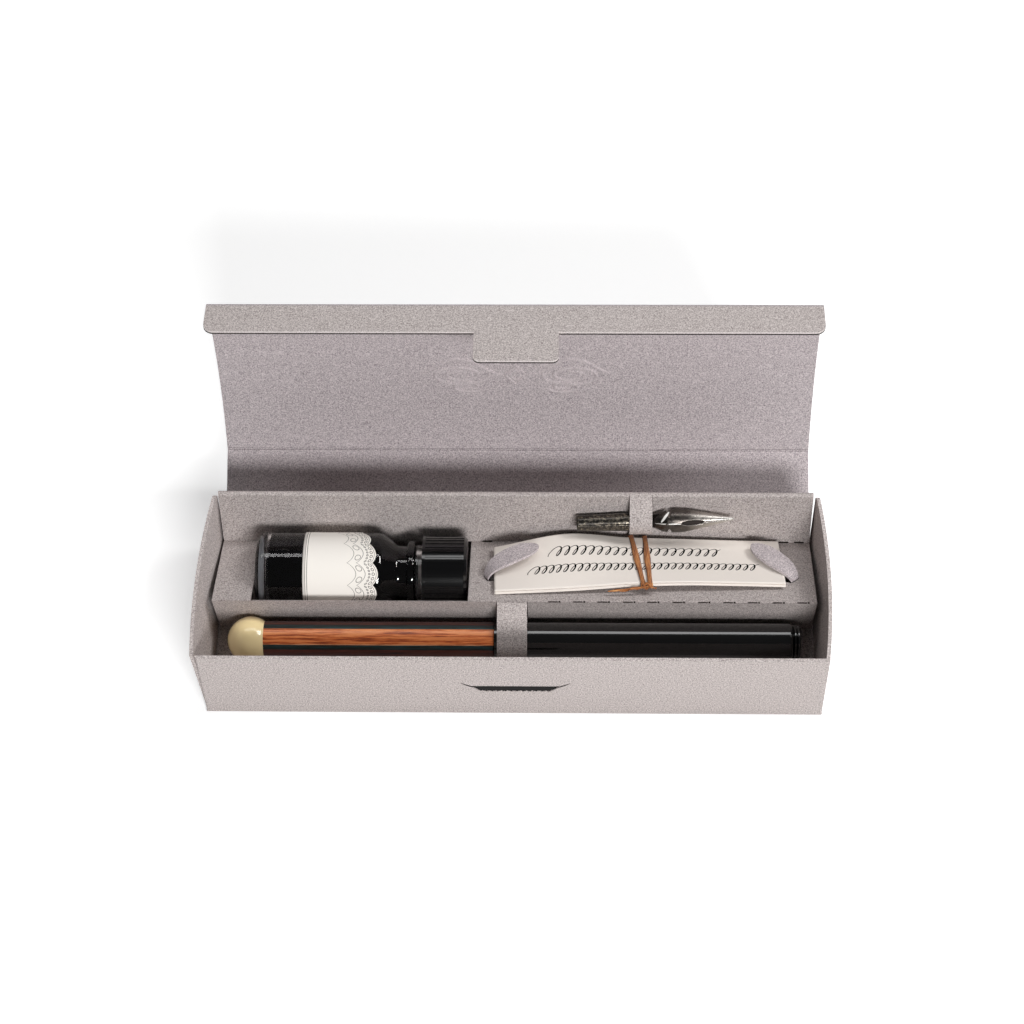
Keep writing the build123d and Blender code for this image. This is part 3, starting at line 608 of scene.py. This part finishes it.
veneers, tree, output = blank("dyed laminated veneer")
place = put(tree, "ShaderNodeTexCoord").outputs["Object"]
layers = put(
    tree,
    "ShaderNodeVectorMath",
    {0: place, 1: veneer_way},
    operation="DOT_PRODUCT",
)
middle = veneer_way[1] * pen_y + veneer_way[2] * pen_z
level_of = put(
    tree,
    "ShaderNodeMapRange",
    {
        "Value": layers.outputs["Value"],
        "From Min": (middle - wood_radius) * mm,
        "From Max": (middle + wood_radius) * mm,
    },
)
stretched = put(tree, "ShaderNodeMapping", {"Vector": place, "Scale": (90.0, 1500.0, 1500.0)})
grain = put(
    tree,
    "ShaderNodeTexNoise",
    {"Vector": stretched.outputs[0], "Scale": 1.0, "Detail": 5.0, "Roughness": 0.65},
)
wander = put(
    tree,
    "ShaderNodeMath",
    {0: grain.outputs["Fac"], 1: 0.035, 2: -0.0175},
    operation="MULTIPLY_ADD",
)
shifted = put(
    tree,
    "ShaderNodeMath",
    {0: level_of.outputs[0], 1: wander.outputs[0]},
    operation="ADD",
)
stack = put(
    tree,
    "ShaderNodeValToRGB",
    {"Fac": shifted.outputs[0]},
    stops=[
        (0.0, "#4c2016"),
        (0.29, "#6a3020"),
        (0.30, "#16282c"),
        (0.41, "#1d4446"),
        (0.425, "#ffba88"),
        (0.45, "#f68c4e"),
        (0.80, "#ffa264"),
        (0.815, "#1f4448"),
        (0.90, "#161e20"),
        (0.91, "#54281c"),
    ],
)
pores = put(
    tree,
    "ShaderNodeValToRGB",
    {"Fac": grain.outputs["Fac"]},
    stops=[(0.36, "#7a4a36"), (0.46, "#d8b49c"), (0.55, "#ffffff")],
)
streaks = put(
    tree,
    "ShaderNodeMix",
    {"Factor": 0.9, 6: stack.outputs[0], 7: pores.outputs[0]},
    data_type="RGBA",
    blend_type="MULTIPLY",
)
surface(
    tree,
    output,
    {"Base Color": streaks.outputs[2], "Roughness": 0.42, "Coat Weight": 0.25, "Coat Roughness": 0.2},
)
dress("pen_wood", veneers)

spring_steel, tree, output = blank("spring steel")
surface(tree, output, {"Base Color": linear("#9c9c9c"), "Metallic": 1.0, "Roughness": 0.35})
dress("pen_nib_clip", spring_steel)

# Loose nib: one strip of steel pressed into a tube at the heel and a shallow trough at the
# blade, pierced with an eye and slit to the point. Blued to gunmetal, scuffed on the heel.
nib_origin = np.array([17.4, 21.3589, 20.6471])
nib_along = np.array([0.99889, 0.008901, 0.046258])
panel_out = np.array([0.0, -cos(radians(10.89)), sin(radians(10.89))])
nib_roll = radians(27.0)
nib_face = panel_out * cos(nib_roll) + np.cross(panel_out, nib_along) * sin(nib_roll)
nib_side = np.cross(nib_along, nib_face)
nib_length = 43.9
nib_steel_gauge = 0.3
nib_stations = (0.0, 7.4, 14.8, 20.6, 24.8, 28.8, 35.6, 39.8, nib_length)
nib_radii = (2.25, 2.38, 2.5, 1.72, 3.05, 3.33, 2.2, 1.25, 0.34)
nib_wraps = (178.0, 178.0, 176.0, 92.0, 84.0, 83.0, 88.0, 92.0, 100.0)
eye_start = 29.3
eye_length = 6.4
eye_width = 1.5
slit_width = 0.07
notch_place = 25.9
notch_half = 0.65
notch_turn = 0.95
blade_crease = 0.12
shoulder_place = 24.6
shoulder_step = 0.22


def eased(x, places, values):
    """Smooth curve through given values: cubic pieces whose slopes are the local averages."""
    places, values = np.asarray(places, float), np.asarray(values, float)
    slopes = np.gradient(values, places)
    index = np.clip(np.searchsorted(places, x) - 1, 0, len(places) - 2)
    span = places[index + 1] - places[index]
    t = (x - places[index]) / span
    return (
        (2 * t**3 - 3 * t**2 + 1) * values[index]
        + (t**3 - 2 * t**2 + t) * span * slopes[index]
        + (3 * t**2 - 2 * t**3) * values[index + 1]
        + (t**3 - t**2) * span * slopes[index + 1]
    )


def nib_half(side):
    """One half of the pressed sheet, split at the slit: x along it, an angle round its axis.

    Each row goes from the slit round to the edge outside and comes back inside."""
    x = np.concatenate(
        [
            np.linspace(0.0, 24.0, 61),
            np.linspace(24.15, 36.6, 84),
            np.linspace(36.8, nib_length, 36),
        ]
    )
    radius = eased(x, nib_stations, nib_radii)
    edge = np.radians(eased(x, nib_stations, nib_wraps))
    notch = np.maximum(0.0, 1.0 - ((x - notch_place) / notch_half) ** 2) ** 0.5
    edge = edge - notch_turn * notch
    across = (x - eye_start) / eye_length
    eye = eye_width / 2 * np.sqrt(np.maximum(0.0, 1.0 - (2.0 * across - 1.0) ** 2))
    split = np.where(x > eye_start, np.maximum(eye, slit_width), 0.0) / radius
    share = np.linspace(0.0, 1.0, 25)
    angle = split[:, None] + (edge - split)[:, None] * share
    # The blade has a low crease down its middle and a step behind the shoulder.
    crease_reach = np.exp(-(((x - 25.5) / 3.4) ** 2))[:, None]
    crease_line = blade_crease * np.exp(-((angle / 0.10) ** 2)) * crease_reach
    slant = x[:, None] - shoulder_place + 1.5 * side * np.sin(angle)
    step = shoulder_step / (1.0 + np.exp(-slant / 0.16)) * np.exp(-np.maximum(0.0, slant) / 3.2)
    rows = []
    for depth, order in ((0.0, slice(None)), (nib_steel_gauge, slice(None, None, -1))):
        reach = radius[:, None] + crease_line + step - depth
        row = (
            nib_origin
            + x[:, None, None] * nib_along
            + (side * reach * np.sin(angle))[..., None] * nib_side
            + (reach * np.cos(angle))[..., None] * nib_face
        )
        rows.append(row[:, order])
    grid = np.concatenate(rows, axis=1)
    middle = (rows[0] + rows[1][:, ::-1]) / 2
    closing = np.concatenate([middle, middle[:, ::-1]], axis=1)
    grid = np.concatenate([closing[:1], grid, closing[-1:]])
    return grid if side < 0 else grid[:, ::-1]


nib_steel, tree, output = blank("blued pressed steel")
place = put(tree, "ShaderNodeTexCoord").outputs["Object"]
parts = put(tree, "ShaderNodeSeparateXYZ", {"Vector": place})
along = put(
    tree,
    "ShaderNodeMapRange",
    {
        "Value": parts.outputs["X"],
        "From Min": nib_origin[0] * mm,
        "From Max": (nib_origin[0] + nib_length) * mm,
    },
)
scuffs = put(
    tree,
    "ShaderNodeTexNoise",
    {"Vector": place, "Scale": 1 / (0.8 * mm), "Detail": 4.0, "Roughness": 0.7},
)
bronze = put(
    tree,
    "ShaderNodeValToRGB",
    {"Fac": along.outputs[0]},
    stops=[
        (0.0, "#4a4744"),
        (0.36, "#504c48"),
        (0.42, "#3c393b"),
        (0.56, "#57524f"),
        (0.70, "#625c58"),
        (0.80, "#b4aea8"),
        (1.0, "#dcd9d4"),
    ],
)
heel = put(
    tree,
    "ShaderNodeMapRange",
    {"Value": along.outputs[0], "From Min": 0.34, "From Max": 0.40, "To Min": 1.0, "To Max": 0.15},
)
worn = put(
    tree,
    "ShaderNodeMapRange",
    {"Value": scuffs.outputs["Fac"], "From Min": 0.50, "From Max": 0.68},
)
patches = put(
    tree, "ShaderNodeMath", {0: worn.outputs[0], 1: heel.outputs[0]}, operation="MULTIPLY"
)
colour = put(
    tree,
    "ShaderNodeMix",
    {"Factor": patches.outputs[0], 6: bronze.outputs[0], 7: linear("#a79d8c")},
    data_type="RGBA",
)
dulled = put(
    tree,
    "ShaderNodeMapRange",
    {
        "Value": scuffs.outputs["Fac"],
        "From Min": 0.3,
        "From Max": 0.7,
        "To Min": 0.22,
        "To Max": 0.42,
    },
)
surface(
    tree,
    output,
    {"Base Color": colour.outputs[2], "Metallic": 1.0, "Roughness": dulled.outputs[0]},
)
dress("nib", nib_steel)
pressed_nib = skin("pressed_nib", [nib_half(1.0), nib_half(-1.0)], nib_steel, wrap=(False, True))
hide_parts("nib")
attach(pressed_nib, "nib")

# Painted highlights on the nib: pale strips on the blade, one slanting across the shoulder and one
# along the middle.
painted_highlight_steel, tree, output = blank("painted highlights on the nib")
surface(tree, output, {"Base Color": linear("#f4f2ee"), "Metallic": 0.35, "Roughness": 0.45})


def highlight_strip(first, last, width):
    """Thin pale strip of painted highlight on the blade between two places, each a length along and
    an angle round.
    """
    way = np.linspace(0.0, 1.0, 41)[:, None]
    side = np.linspace(1.0, -1.0, 5)
    swell = width * np.sqrt(np.maximum(0.0, 1.0 - (2.0 * way - 1.0) ** 2)) * side
    x = first[0] + (last[0] - first[0]) * way
    angle = radians(first[1]) + radians(last[1] - first[1]) * way
    run = np.hypot(last[0] - first[0], 3.0 * radians(last[1] - first[1]))
    x = x - swell * 3.0 * radians(last[1] - first[1]) / run
    angle = angle + swell * (last[0] - first[0]) / run / 3.0
    reach = eased(x, nib_stations, nib_radii) + 0.27
    return (
        nib_origin
        + x[..., None] * nib_along
        + (reach * np.sin(angle))[..., None] * nib_side
        + (reach * np.cos(angle))[..., None] * nib_face
    )


def trough(first, last, half):
    """Dark strip of painted shade inside the blade under its eye: along it, by an angle round its
    axis.
    """
    x = np.linspace(first, last, 31)[:, None]
    angle = half * np.linspace(1.0, -1.0, 9) / 3.0
    reach = eased(x, nib_stations, nib_radii) - 0.34
    return (
        nib_origin
        + x[..., None] * nib_along
        + (reach * np.sin(angle))[..., None] * nib_side
        + (reach * np.cos(angle))[..., None] * nib_face
    )


# The hollow under the eye is darkened by this strip of painted shade.
painted_nib_shade = even("painted shade in the nib's hollow", "#2d2623", 0.95)
nib_shade_strip = skin("nib_painted_shade", [trough(28.6, 36.4, 1.1)], painted_nib_shade)
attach(nib_shade_strip, "nib")
nib_highlights = skin(
    "nib_highlights",
    [highlight_strip((26.0, -62.0), (23.6, -8.0), 0.34), highlight_strip((21.8, 0.0), (29.2, 0.0), 0.13)],
    painted_highlight_steel,
)
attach(nib_highlights, "nib")

# Ink bottle: clear pressed glass with a thick base, full of black ink, with a black ribbed
# cap. The ink looks as wide as the glass, because the curved wall magnifies it.
clear_glass, tree, output = blank("clear soda glass")
surface(
    tree,
    output,
    {
        "Base Color": (1.0, 1.0, 1.0, 1.0),
        "Roughness": 0.07,
        "IOR": 1.52,
        "Transmission Weight": 1.0,
    },
)
dress("bottle_glass", clear_glass)
black_ink, tree, output = blank("black ink")
surface(
    tree,
    output,
    {"Base Color": linear("#020203"), "Roughness": 0.9, "Specular IOR Level": 0.0},
)
dress("ink", black_ink)
dress("bottle_cap", lacquer("black phenolic moulding", "#040405", 0.14, 0.3))
dress("cap_liner", lacquer("pale sealing foam", "#e2e0da", 0.7, 0.0))

bottle_x = -72.15
bottle_y = 9.2428
bottle_z = 12.8
bottle_radius = 11.5
ink_profile = (
    (2.6, 0.0),
    (2.6, 7.6),
    (3.4, 9.6),
    (5.2, 10.8),
    (8.0, 11.25),
    (33.6, 11.25),
    (35.2, 10.7),
    (38.6, 8.1),
    (41.4, 7.3),
    (44.6, 7.0),
    (44.6, 0.0),
)


def turned(profile, angle):
    """Surface of revolution about the bottle's axis: x along it and radius, by an angle."""
    x, radius = profile[..., 0], profile[..., 1]
    y = bottle_y - radius * np.sin(angle)
    z = bottle_z + radius * np.cos(angle)
    return np.stack(np.broadcast_arrays(bottle_x + x, y, z), axis=-1)


seen_ink = skin(
    "seen_ink",
    [turned(np.array(ink_profile)[:, None], np.linspace(tau, 0.0, 73)[:-1])],
    black_ink,
    wrap=(False, True),
)
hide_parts("ink")
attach(seen_ink, "bottle")

# Foot glint: a pale grey crescent inside the glass round the foot, a painted highlight standing for
# the light seen through the thick base.
painted_glint_glass = even("painted glint in the glass foot", "#85868a", 0.5)
ring_middle = radians(40.0)
ring_half = radians(80.0)
ring_turn = np.linspace(ring_middle - ring_half, ring_middle + ring_half, 97)
ring_share = np.sqrt(np.maximum(0.0, 1.0 - ((ring_turn - ring_middle) / ring_half) ** 2))
ring_place = np.array([0.0, 0.5, 1.0]) * ring_share[:, None]
crescent = np.stack([1.3 + 1.5 * ring_place, 10.3 + 0.85 * ring_place**0.7], axis=-1)
foot_glint = skin("foot_glint", [turned(crescent, ring_turn[:, None])], painted_glint_glass)
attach(foot_glint, "bottle")

# Label: cream paper pasted round the bottle, cut straight at the foot and in lace scallops
# towards the neck, printed with a fine double line and rows of small rings.
label_start = 13.5
label_back = 29.3
label_bulge = 34.5
scallop_depth = 1.5
scallop_turn = radians(31.0)
scallop_notch = radians(18.4)
bulge_middle = radians(37.0)
label_proud = 0.13
label_under = 0.04
shoulder_start = 33.4
label_steps = 385

around = np.linspace(radians(-125.0), radians(195.0), label_steps)
spread = np.minimum(1.0, ((around - bulge_middle) / radians(90.0)) ** 2)
envelope = label_bulge - (label_bulge - label_back) * spread
lobe = np.abs(np.sin(pi * (around - scallop_notch) / scallop_turn))
label_edge = envelope - scallop_depth * (1.0 - lobe**0.7) * (1.0 - 0.6 * spread)
share = np.linspace(0.0, 1.0, 25)
along = label_start + (label_edge - label_start)[:, None] * share
on_glass = bottle_radius - np.maximum(0.0, along - shoulder_start) ** 2 / 7.0
step = np.arange(label_steps)
fade = np.minimum(1.0, np.minimum(step, step[::-1]) / 2.0)[:, None]
outside = np.stack([along, on_glass + label_under + (label_proud - label_under) * fade], -1)
inside = np.stack([along, on_glass + label_under + 0 * fade], -1)[:, ::-1]
label_grid = turned(np.concatenate([outside, inside], axis=1), around[:, None])


def math(tree, operation, first, second=0.0, third=0.0):
    """Arithmetic on links or numbers."""
    return put(
        tree, "ShaderNodeMath", {0: first, 1: second, 2: third}, operation=operation
    ).outputs[0]


def printed_line(tree, distance, half):
    """1 on a printed line and 0 off it, from the distance to the line's middle."""
    return put(
        tree,
        "ShaderNodeMapRange",
        {"Value": math(tree, "ABSOLUTE", distance), "From Min": half, "From Max": 0.5 * half},
    ).outputs[0]


def ring_row(tree, along, across, pitch, radius, half):
    """A row of printed rings: circles a pitch apart along the row's middle line."""
    cell = math(tree, "SUBTRACT", math(tree, "FRACT", math(tree, "DIVIDE", along, pitch)), 0.5)
    cell = math(tree, "MULTIPLY", cell, pitch)
    reach = math(
        tree,
        "SQRT",
        math(tree, "MULTIPLY_ADD", cell, cell, math(tree, "MULTIPLY", across, across)),
    )
    return printed_line(tree, math(tree, "SUBTRACT", reach, radius), half)


def soft_paper(name, paper, ink=None, drawing=None):
    """Uncoated paper with a soft fibre mottle, and any fine printed lines that drawing() gives."""
    material, tree, output = blank(name)
    colour = linear(paper)
    if drawing:
        chart_node = put(tree, "ShaderNodeUVMap", uv_map="pattern")
        parts = put(tree, "ShaderNodeSeparateXYZ", {"Vector": chart_node.outputs[0]})
        marks = drawing(tree, parts.outputs["X"], parts.outputs["Y"])
        colour = put(
            tree,
            "ShaderNodeMix",
            {"Factor": marks, 6: colour, 7: linear(ink)},
            data_type="RGBA",
        ).outputs[2]
    place = put(tree, "ShaderNodeTexCoord").outputs["Object"]
    fibre = put(
        tree,
        "ShaderNodeTexNoise",
        {"Vector": place, "Scale": 1 / (0.35 * mm), "Detail": 3.0, "Roughness": 0.7},
    )
    mottle = put(
        tree,
        "ShaderNodeMix",
        {"Factor": 0.10, 6: colour, 7: fibre.outputs["Fac"]},
        data_type="RGBA",
        blend_type="SOFT_LIGHT",
    )
    tooth = put(
        tree,
        "ShaderNodeBump",
        {"Strength": 0.35, "Distance": 0.03 * mm, "Height": fibre.outputs["Fac"]},
    )
    surface(
        tree,
        output,
        {"Base Color": mottle.outputs[2], "Roughness": 0.82, "Normal": tooth.outputs[0]},
    )
    return material


def label_print(tree, arc, inward):
    """Lines that follow the scallops and the foot, and three rows of lace rings."""
    pitch = scallop_turn * bottle_radius
    wave = math(tree, "SINE", math(tree, "MULTIPLY", arc, pi / pitch))
    wave = math(tree, "ABSOLUTE", wave)
    dipped = math(tree, "MULTIPLY_ADD", wave, 0.9, inward)
    marks = printed_line(tree, math(tree, "SUBTRACT", inward, 0.45), 0.11)
    for extra in (
        ring_row(tree, arc, math(tree, "SUBTRACT", inward, 1.25), pitch / 5, 0.36, 0.13),
        ring_row(tree, arc, math(tree, "SUBTRACT", inward, 2.35), pitch / 7, 0.22, 0.13),
        printed_line(tree, math(tree, "SUBTRACT", dipped, 4.4), 0.11),
        ring_row(tree, arc, math(tree, "SUBTRACT", inward, 4.9), pitch / 2, 0.75, 0.11),
        printed_line(tree, math(tree, "SUBTRACT", dipped, 7.0), 0.10),
    ):
        marks = math(tree, "MAXIMUM", marks, extra)
    place = put(tree, "ShaderNodeTexCoord").outputs["Object"]
    foot = put(tree, "ShaderNodeSeparateXYZ", {"Vector": place}).outputs["X"]
    from_foot = math(tree, "MULTIPLY_ADD", foot, 1 / mm, -(bottle_x + label_start))
    for line in (0.7, 1.25):
        rule = printed_line(tree, math(tree, "SUBTRACT", from_foot, line), 0.11)
        marks = math(tree, "MAXIMUM", marks, rule)
    return math(tree, "MULTIPLY", marks, 0.85)


label_paper = soft_paper("cream label paper", "#f0ebe4", "#3b3532", label_print)
dress("bottle_label", label_paper)
pattern = np.empty((len(around), 2 * len(share), 2))
pattern[..., 0] = ((around - scallop_notch) * bottle_radius)[:, None]
pattern[:, : len(share), 1] = label_edge[:, None] - along
pattern[:, len(share) :, 1] = (label_edge[:, None] - along)[:, ::-1]
lace_label = skin("lace_label", [label_grid], label_paper, wrap=(False, True), charts=pattern)
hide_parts("bottle_label")
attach(lace_label, "bottle")

# Leaflet: a sheet of uncoated cream paper folded twice into a long slip. It springs up off
# the card between the two tongues that hold its ends, most along its back edge.
leaflet_x = 34.5
leaflet_t = 15.0
leaflet_half = 40.3
leaflet_depth = 20.9
leaflet_turn = radians(2.3)
leaflet_thickness = 0.9
leaflet_clearance = 0.3
leaf_gauge = 0.17
leaflet_shares = (-1.0, -0.45, -0.05, 0.35, 0.65, 1.0)
front_rises = (0.0, 0.7, 1.7, 1.8, 1.3, 0.6)
back_rises = (0.4, 4.7, 3.0, 2.0, 1.3, 0.6)


def lying(x, t):
    """Height of the leaflet's underside: straight across between its two sprung edges."""
    share = 0.5 + t / leaflet_depth
    front = eased(x / leaflet_half, leaflet_shares, front_rises)
    back = eased(x / leaflet_half, leaflet_shares, back_rises)
    return leaflet_clearance + front + (back - front) * share


def on_leaflet(x, t, height):
    """World points of the leaflet's own coordinates: along it, across it and off the card."""
    along = leaflet_x + x * cos(leaflet_turn) - t * sin(leaflet_turn)
    down = leaflet_t + x * sin(leaflet_turn) + t * cos(leaflet_turn)
    y = crest[0] + down * cos(slope) + height * sin(slope)
    z = crest[1] - down * sin(slope) + height * cos(slope)
    return np.stack(np.broadcast_arrays(along, y, z), axis=-1)


def leaf_round(front_low, front_high, back, low, high):
    """Path of a folded leaf across the slip: along the bottom, round the fold, and back."""
    radius = (high - low) / 2
    turn = np.linspace(-pi / 2, pi / 2, 11)
    flat = np.linspace(0.0, 1.0, 29)
    across = np.concatenate(
        [
            front_low + (back - radius - front_low) * flat[:-1],
            back - radius + radius * np.cos(turn),
            back - radius + (front_high - back + radius) * flat[1:],
        ]
    )
    height = np.concatenate(
        [0 * flat[:-1] + low, low + radius + radius * np.sin(turn), 0 * flat[1:] + high]
    )
    return across, height


reach = np.linspace(1.0, -1.0, 141) * leaflet_half
half_depth = leaflet_depth / 2
half_gauge = leaf_gauge / 2
leaves = []
for front_low, front_high, back, low, high in (
    (-half_depth, 0.35 - half_depth, half_depth, half_gauge, leaflet_thickness - half_gauge),
    (0.2 - half_depth, 0.8 - half_depth, half_depth - 0.5, 0.31, 0.60),
):
    across, height = leaf_round(front_low, front_high, back, low, high)
    dt, dh = np.gradient(across), np.gradient(height)
    length = np.hypot(dt, dh)
    loops = []
    for offset in (half_gauge, -half_gauge):
        t = across + offset * dh / length
        h = height - offset * dt / length
        loops.append((t, h))
    t = np.concatenate([loops[0][0], loops[1][0][::-1]])
    h = np.concatenate([loops[0][1], loops[1][1][::-1]])
    sheet = on_leaflet(reach[:, None], t, lying(reach[:, None], t) + h)
    t_mid = np.concatenate([across, across[::-1]])
    h_mid = np.concatenate([height, height[::-1]])
    ends = on_leaflet(reach[[0, -1], None], t_mid, lying(reach[[0, -1], None], t_mid) + h_mid)
    leaves.append(np.concatenate([ends[:1], sheet, ends[1:]]))
slip_paper = soft_paper("uncoated cream paper", "#ece4dc")
dress("leaflet", slip_paper)
folded_slip = skin("folded_slip", leaves, slip_paper, wrap=(False, True))
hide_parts("leaflet")
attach(folded_slip, "leaflet")

# Writing exercise on the slip: two rows of slanted running loops in black ink, thin on the
# way up and swelling on the way down, as a pointed pen leaves them.
ink_proud = 0.02
exercise = []
for start, end, middle, tall, pitch in (
    (-24.0, 23.0, 3.9, 1.75, 2.3),
    (-30.0, 33.0, -2.7, 1.45, 2.0),
):
    loops_run = (end - start) / pitch
    way = np.linspace(0.0, loops_run, int(40 * loops_run))
    beat = tau * way
    t = middle - tall * np.cos(beat)
    x = start + pitch * way - 0.85 * np.sin(beat) + 0.55 * (t - middle)
    dx, dt = np.gradient(x), np.gradient(t)
    length = np.hypot(dx, dt)
    stroke = 0.10 + 0.13 * np.maximum(0.0, -dt / length) ** 1.5
    side = np.array([-1.0, 0.0, 1.0])
    row_x = x[:, None] + (stroke * -dt / length)[:, None] * side
    row_t = t[:, None] + (stroke * dx / length)[:, None] * side
    lift = leaflet_thickness + ink_proud
    exercise.append(on_leaflet(row_x, row_t, lying(row_x, row_t) + lift))
pen_loops = skin("pen_loops", exercise, black_ink)
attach(pen_loops, "leaflet")

# Raffia: two turns of dry palm strip round the slip, each a flat bundle of fibres with a
# slight twist, tied at the front in a small flat knot that leaves three loose tails.
raffia, tree, output = blank("dry raffia palm")
chart_node = put(tree, "ShaderNodeUVMap", uv_map="pattern")
stretched = put(
    tree,
    "ShaderNodeMapping",
    {"Vector": chart_node.outputs[0], "Scale": (0.16, 4.0, 1.0)},
)
fibre = put(
    tree,
    "ShaderNodeTexNoise",
    {"Vector": stretched.outputs[0], "Scale": 1.0, "Detail": 4.0, "Roughness": 0.7},
)
straw = put(
    tree,
    "ShaderNodeValToRGB",
    {"Fac": fibre.outputs["Fac"]},
    stops=[(0.38, "#4a220e"), (0.47, "#8f5022"), (0.55, "#b8702f"), (0.66, "#e2b178")],
)
surface(tree, output, {"Base Color": straw.outputs[0], "Roughness": 0.62, "Sheen Weight": 0.2})
dress("raffia_tie", raffia)
strip_thickness = 0.42
strip_gap = 0.12
ridges = 7
strips, strip_charts = [], []


def ribbed(path, broad, width, thickness, twist):
    """Add a ribbed strip: broad is the direction of its width at each path point."""
    ahead = np.gradient(path, axis=0)
    ahead = ahead / np.linalg.norm(ahead, axis=1)[:, None]
    thin = np.cross(ahead, broad)
    thin = thin / np.linalg.norm(thin, axis=1)[:, None]
    wide = np.cross(thin, ahead)
    way = np.linspace(0.0, 1.0, len(path))[:, None]
    ring = np.linspace(tau, 0.0, 43)[:-1]
    rib = 1.0 + 0.12 * np.cos(ridges * 2 * ring + 3.0 * np.sin(9.0 * way))
    sway = twist * np.sin(tau * (2.0 * way + 0.15))
    across = width / 2 * (1.0 + 0.16 * np.sin(tau * 3.0 * way + 1.0)) * rib * np.cos(ring)
    through = thickness / 2 * rib * np.sin(ring)
    turned_across = across * np.cos(sway) - through * np.sin(sway)
    turned_through = across * np.sin(sway) + through * np.cos(sway)
    grid = (
        path[:, None]
        + turned_across[..., None] * wide[:, None]
        + turned_through[..., None] * thin[:, None]
    )
    run = np.concatenate([[0.0], np.cumsum(np.linalg.norm(np.diff(path, axis=0), axis=1))])
    plan = np.empty(grid.shape[:2] + (2,))
    plan[..., 0] = run[:, None]
    plan[..., 1] = across
    tips = [end + 0 * grid[:1] for end in (path[:1, None], path[-1:, None])]
    strips.append(np.concatenate([tips[0], grid, tips[1]]))
    strip_charts.append(np.concatenate([plan[:1], plan, plan[-1:]]).reshape(-1, 2))


space = strip_gap + strip_thickness / 2
low, high = -space, leaflet_thickness + space
bend = (high - low) / 2
turn = np.linspace(-pi / 2, pi / 2, 13)
flat = np.linspace(-1.0, 1.0, 61)[1:-1] * half_depth
out_t, out_h = bend * np.cos(turn), bend + bend * np.sin(turn)
loop_t = np.concatenate([flat, half_depth + out_t, -flat, -half_depth - out_t])
loop_h = np.concatenate([0 * flat + low, low + out_h, 0 * flat + high, high - out_h])
for front, back in ((0.8, -1.4), (2.7, 2.5)):
    clipped = np.clip(loop_t, -half_depth, half_depth)
    at = front + (back - front) * (0.5 + loop_t / leaflet_depth)
    path = on_leaflet(at, loop_t, lying(at, clipped) + loop_h)
    broad = on_leaflet(at + 1.0, loop_t, lying(at, clipped) + loop_h) - path
    path, broad = np.vstack([path, path[:1]]), np.vstack([broad, broad[:1]])
    ribbed(path, broad, 1.5, strip_thickness, 0.2)

knot_x = 1.75
knot_t = -half_depth - 0.55
knot_high = float(lying(np.array(knot_x), np.array(-half_depth))) + 0.75
wind = np.linspace(0.0, tau, 81)
for width, height, start in ((0.95, 0.62, 0.0), (0.62, 0.9, 1.3)):
    x = knot_x + width * np.cos(wind + start)
    h = knot_high + height * np.sin(wind + start)
    t = knot_t - 0.28 - 0.2 * np.cos(2.0 * wind + start)
    frontwards = on_leaflet(knot_x, knot_t - 1.0, knot_high) - on_leaflet(knot_x, knot_t, knot_high)
    ribbed(on_leaflet(x, t, h), np.tile(frontwards, (len(wind), 1)), 0.8, 0.36, 0.3)
for reach_x, drop, lean_t in ((-10.8, 1.35, -0.3), (-7.5, 1.75, 0.1), (2.6, 0.7, -0.2)):
    way = np.linspace(0.0, 1.0, 61)
    x = knot_x + reach_x * way
    h = knot_high - drop * way**0.7 + 0.25 * np.sin(pi * way)
    t = knot_t - 0.35 + lean_t * way - 0.25 * np.sin(pi * way)
    broad = np.tile([0.0, cos(slope), -sin(slope)], (len(way), 1))
    ribbed(on_leaflet(x, t, h), broad, 0.62, 0.26, 0.9)
palm_tie = skin(
    "palm_tie", strips, raffia, wrap=(False, True), charts=np.concatenate(strip_charts)
)
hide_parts("raffia_tie")
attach(palm_tie, "leaflet")
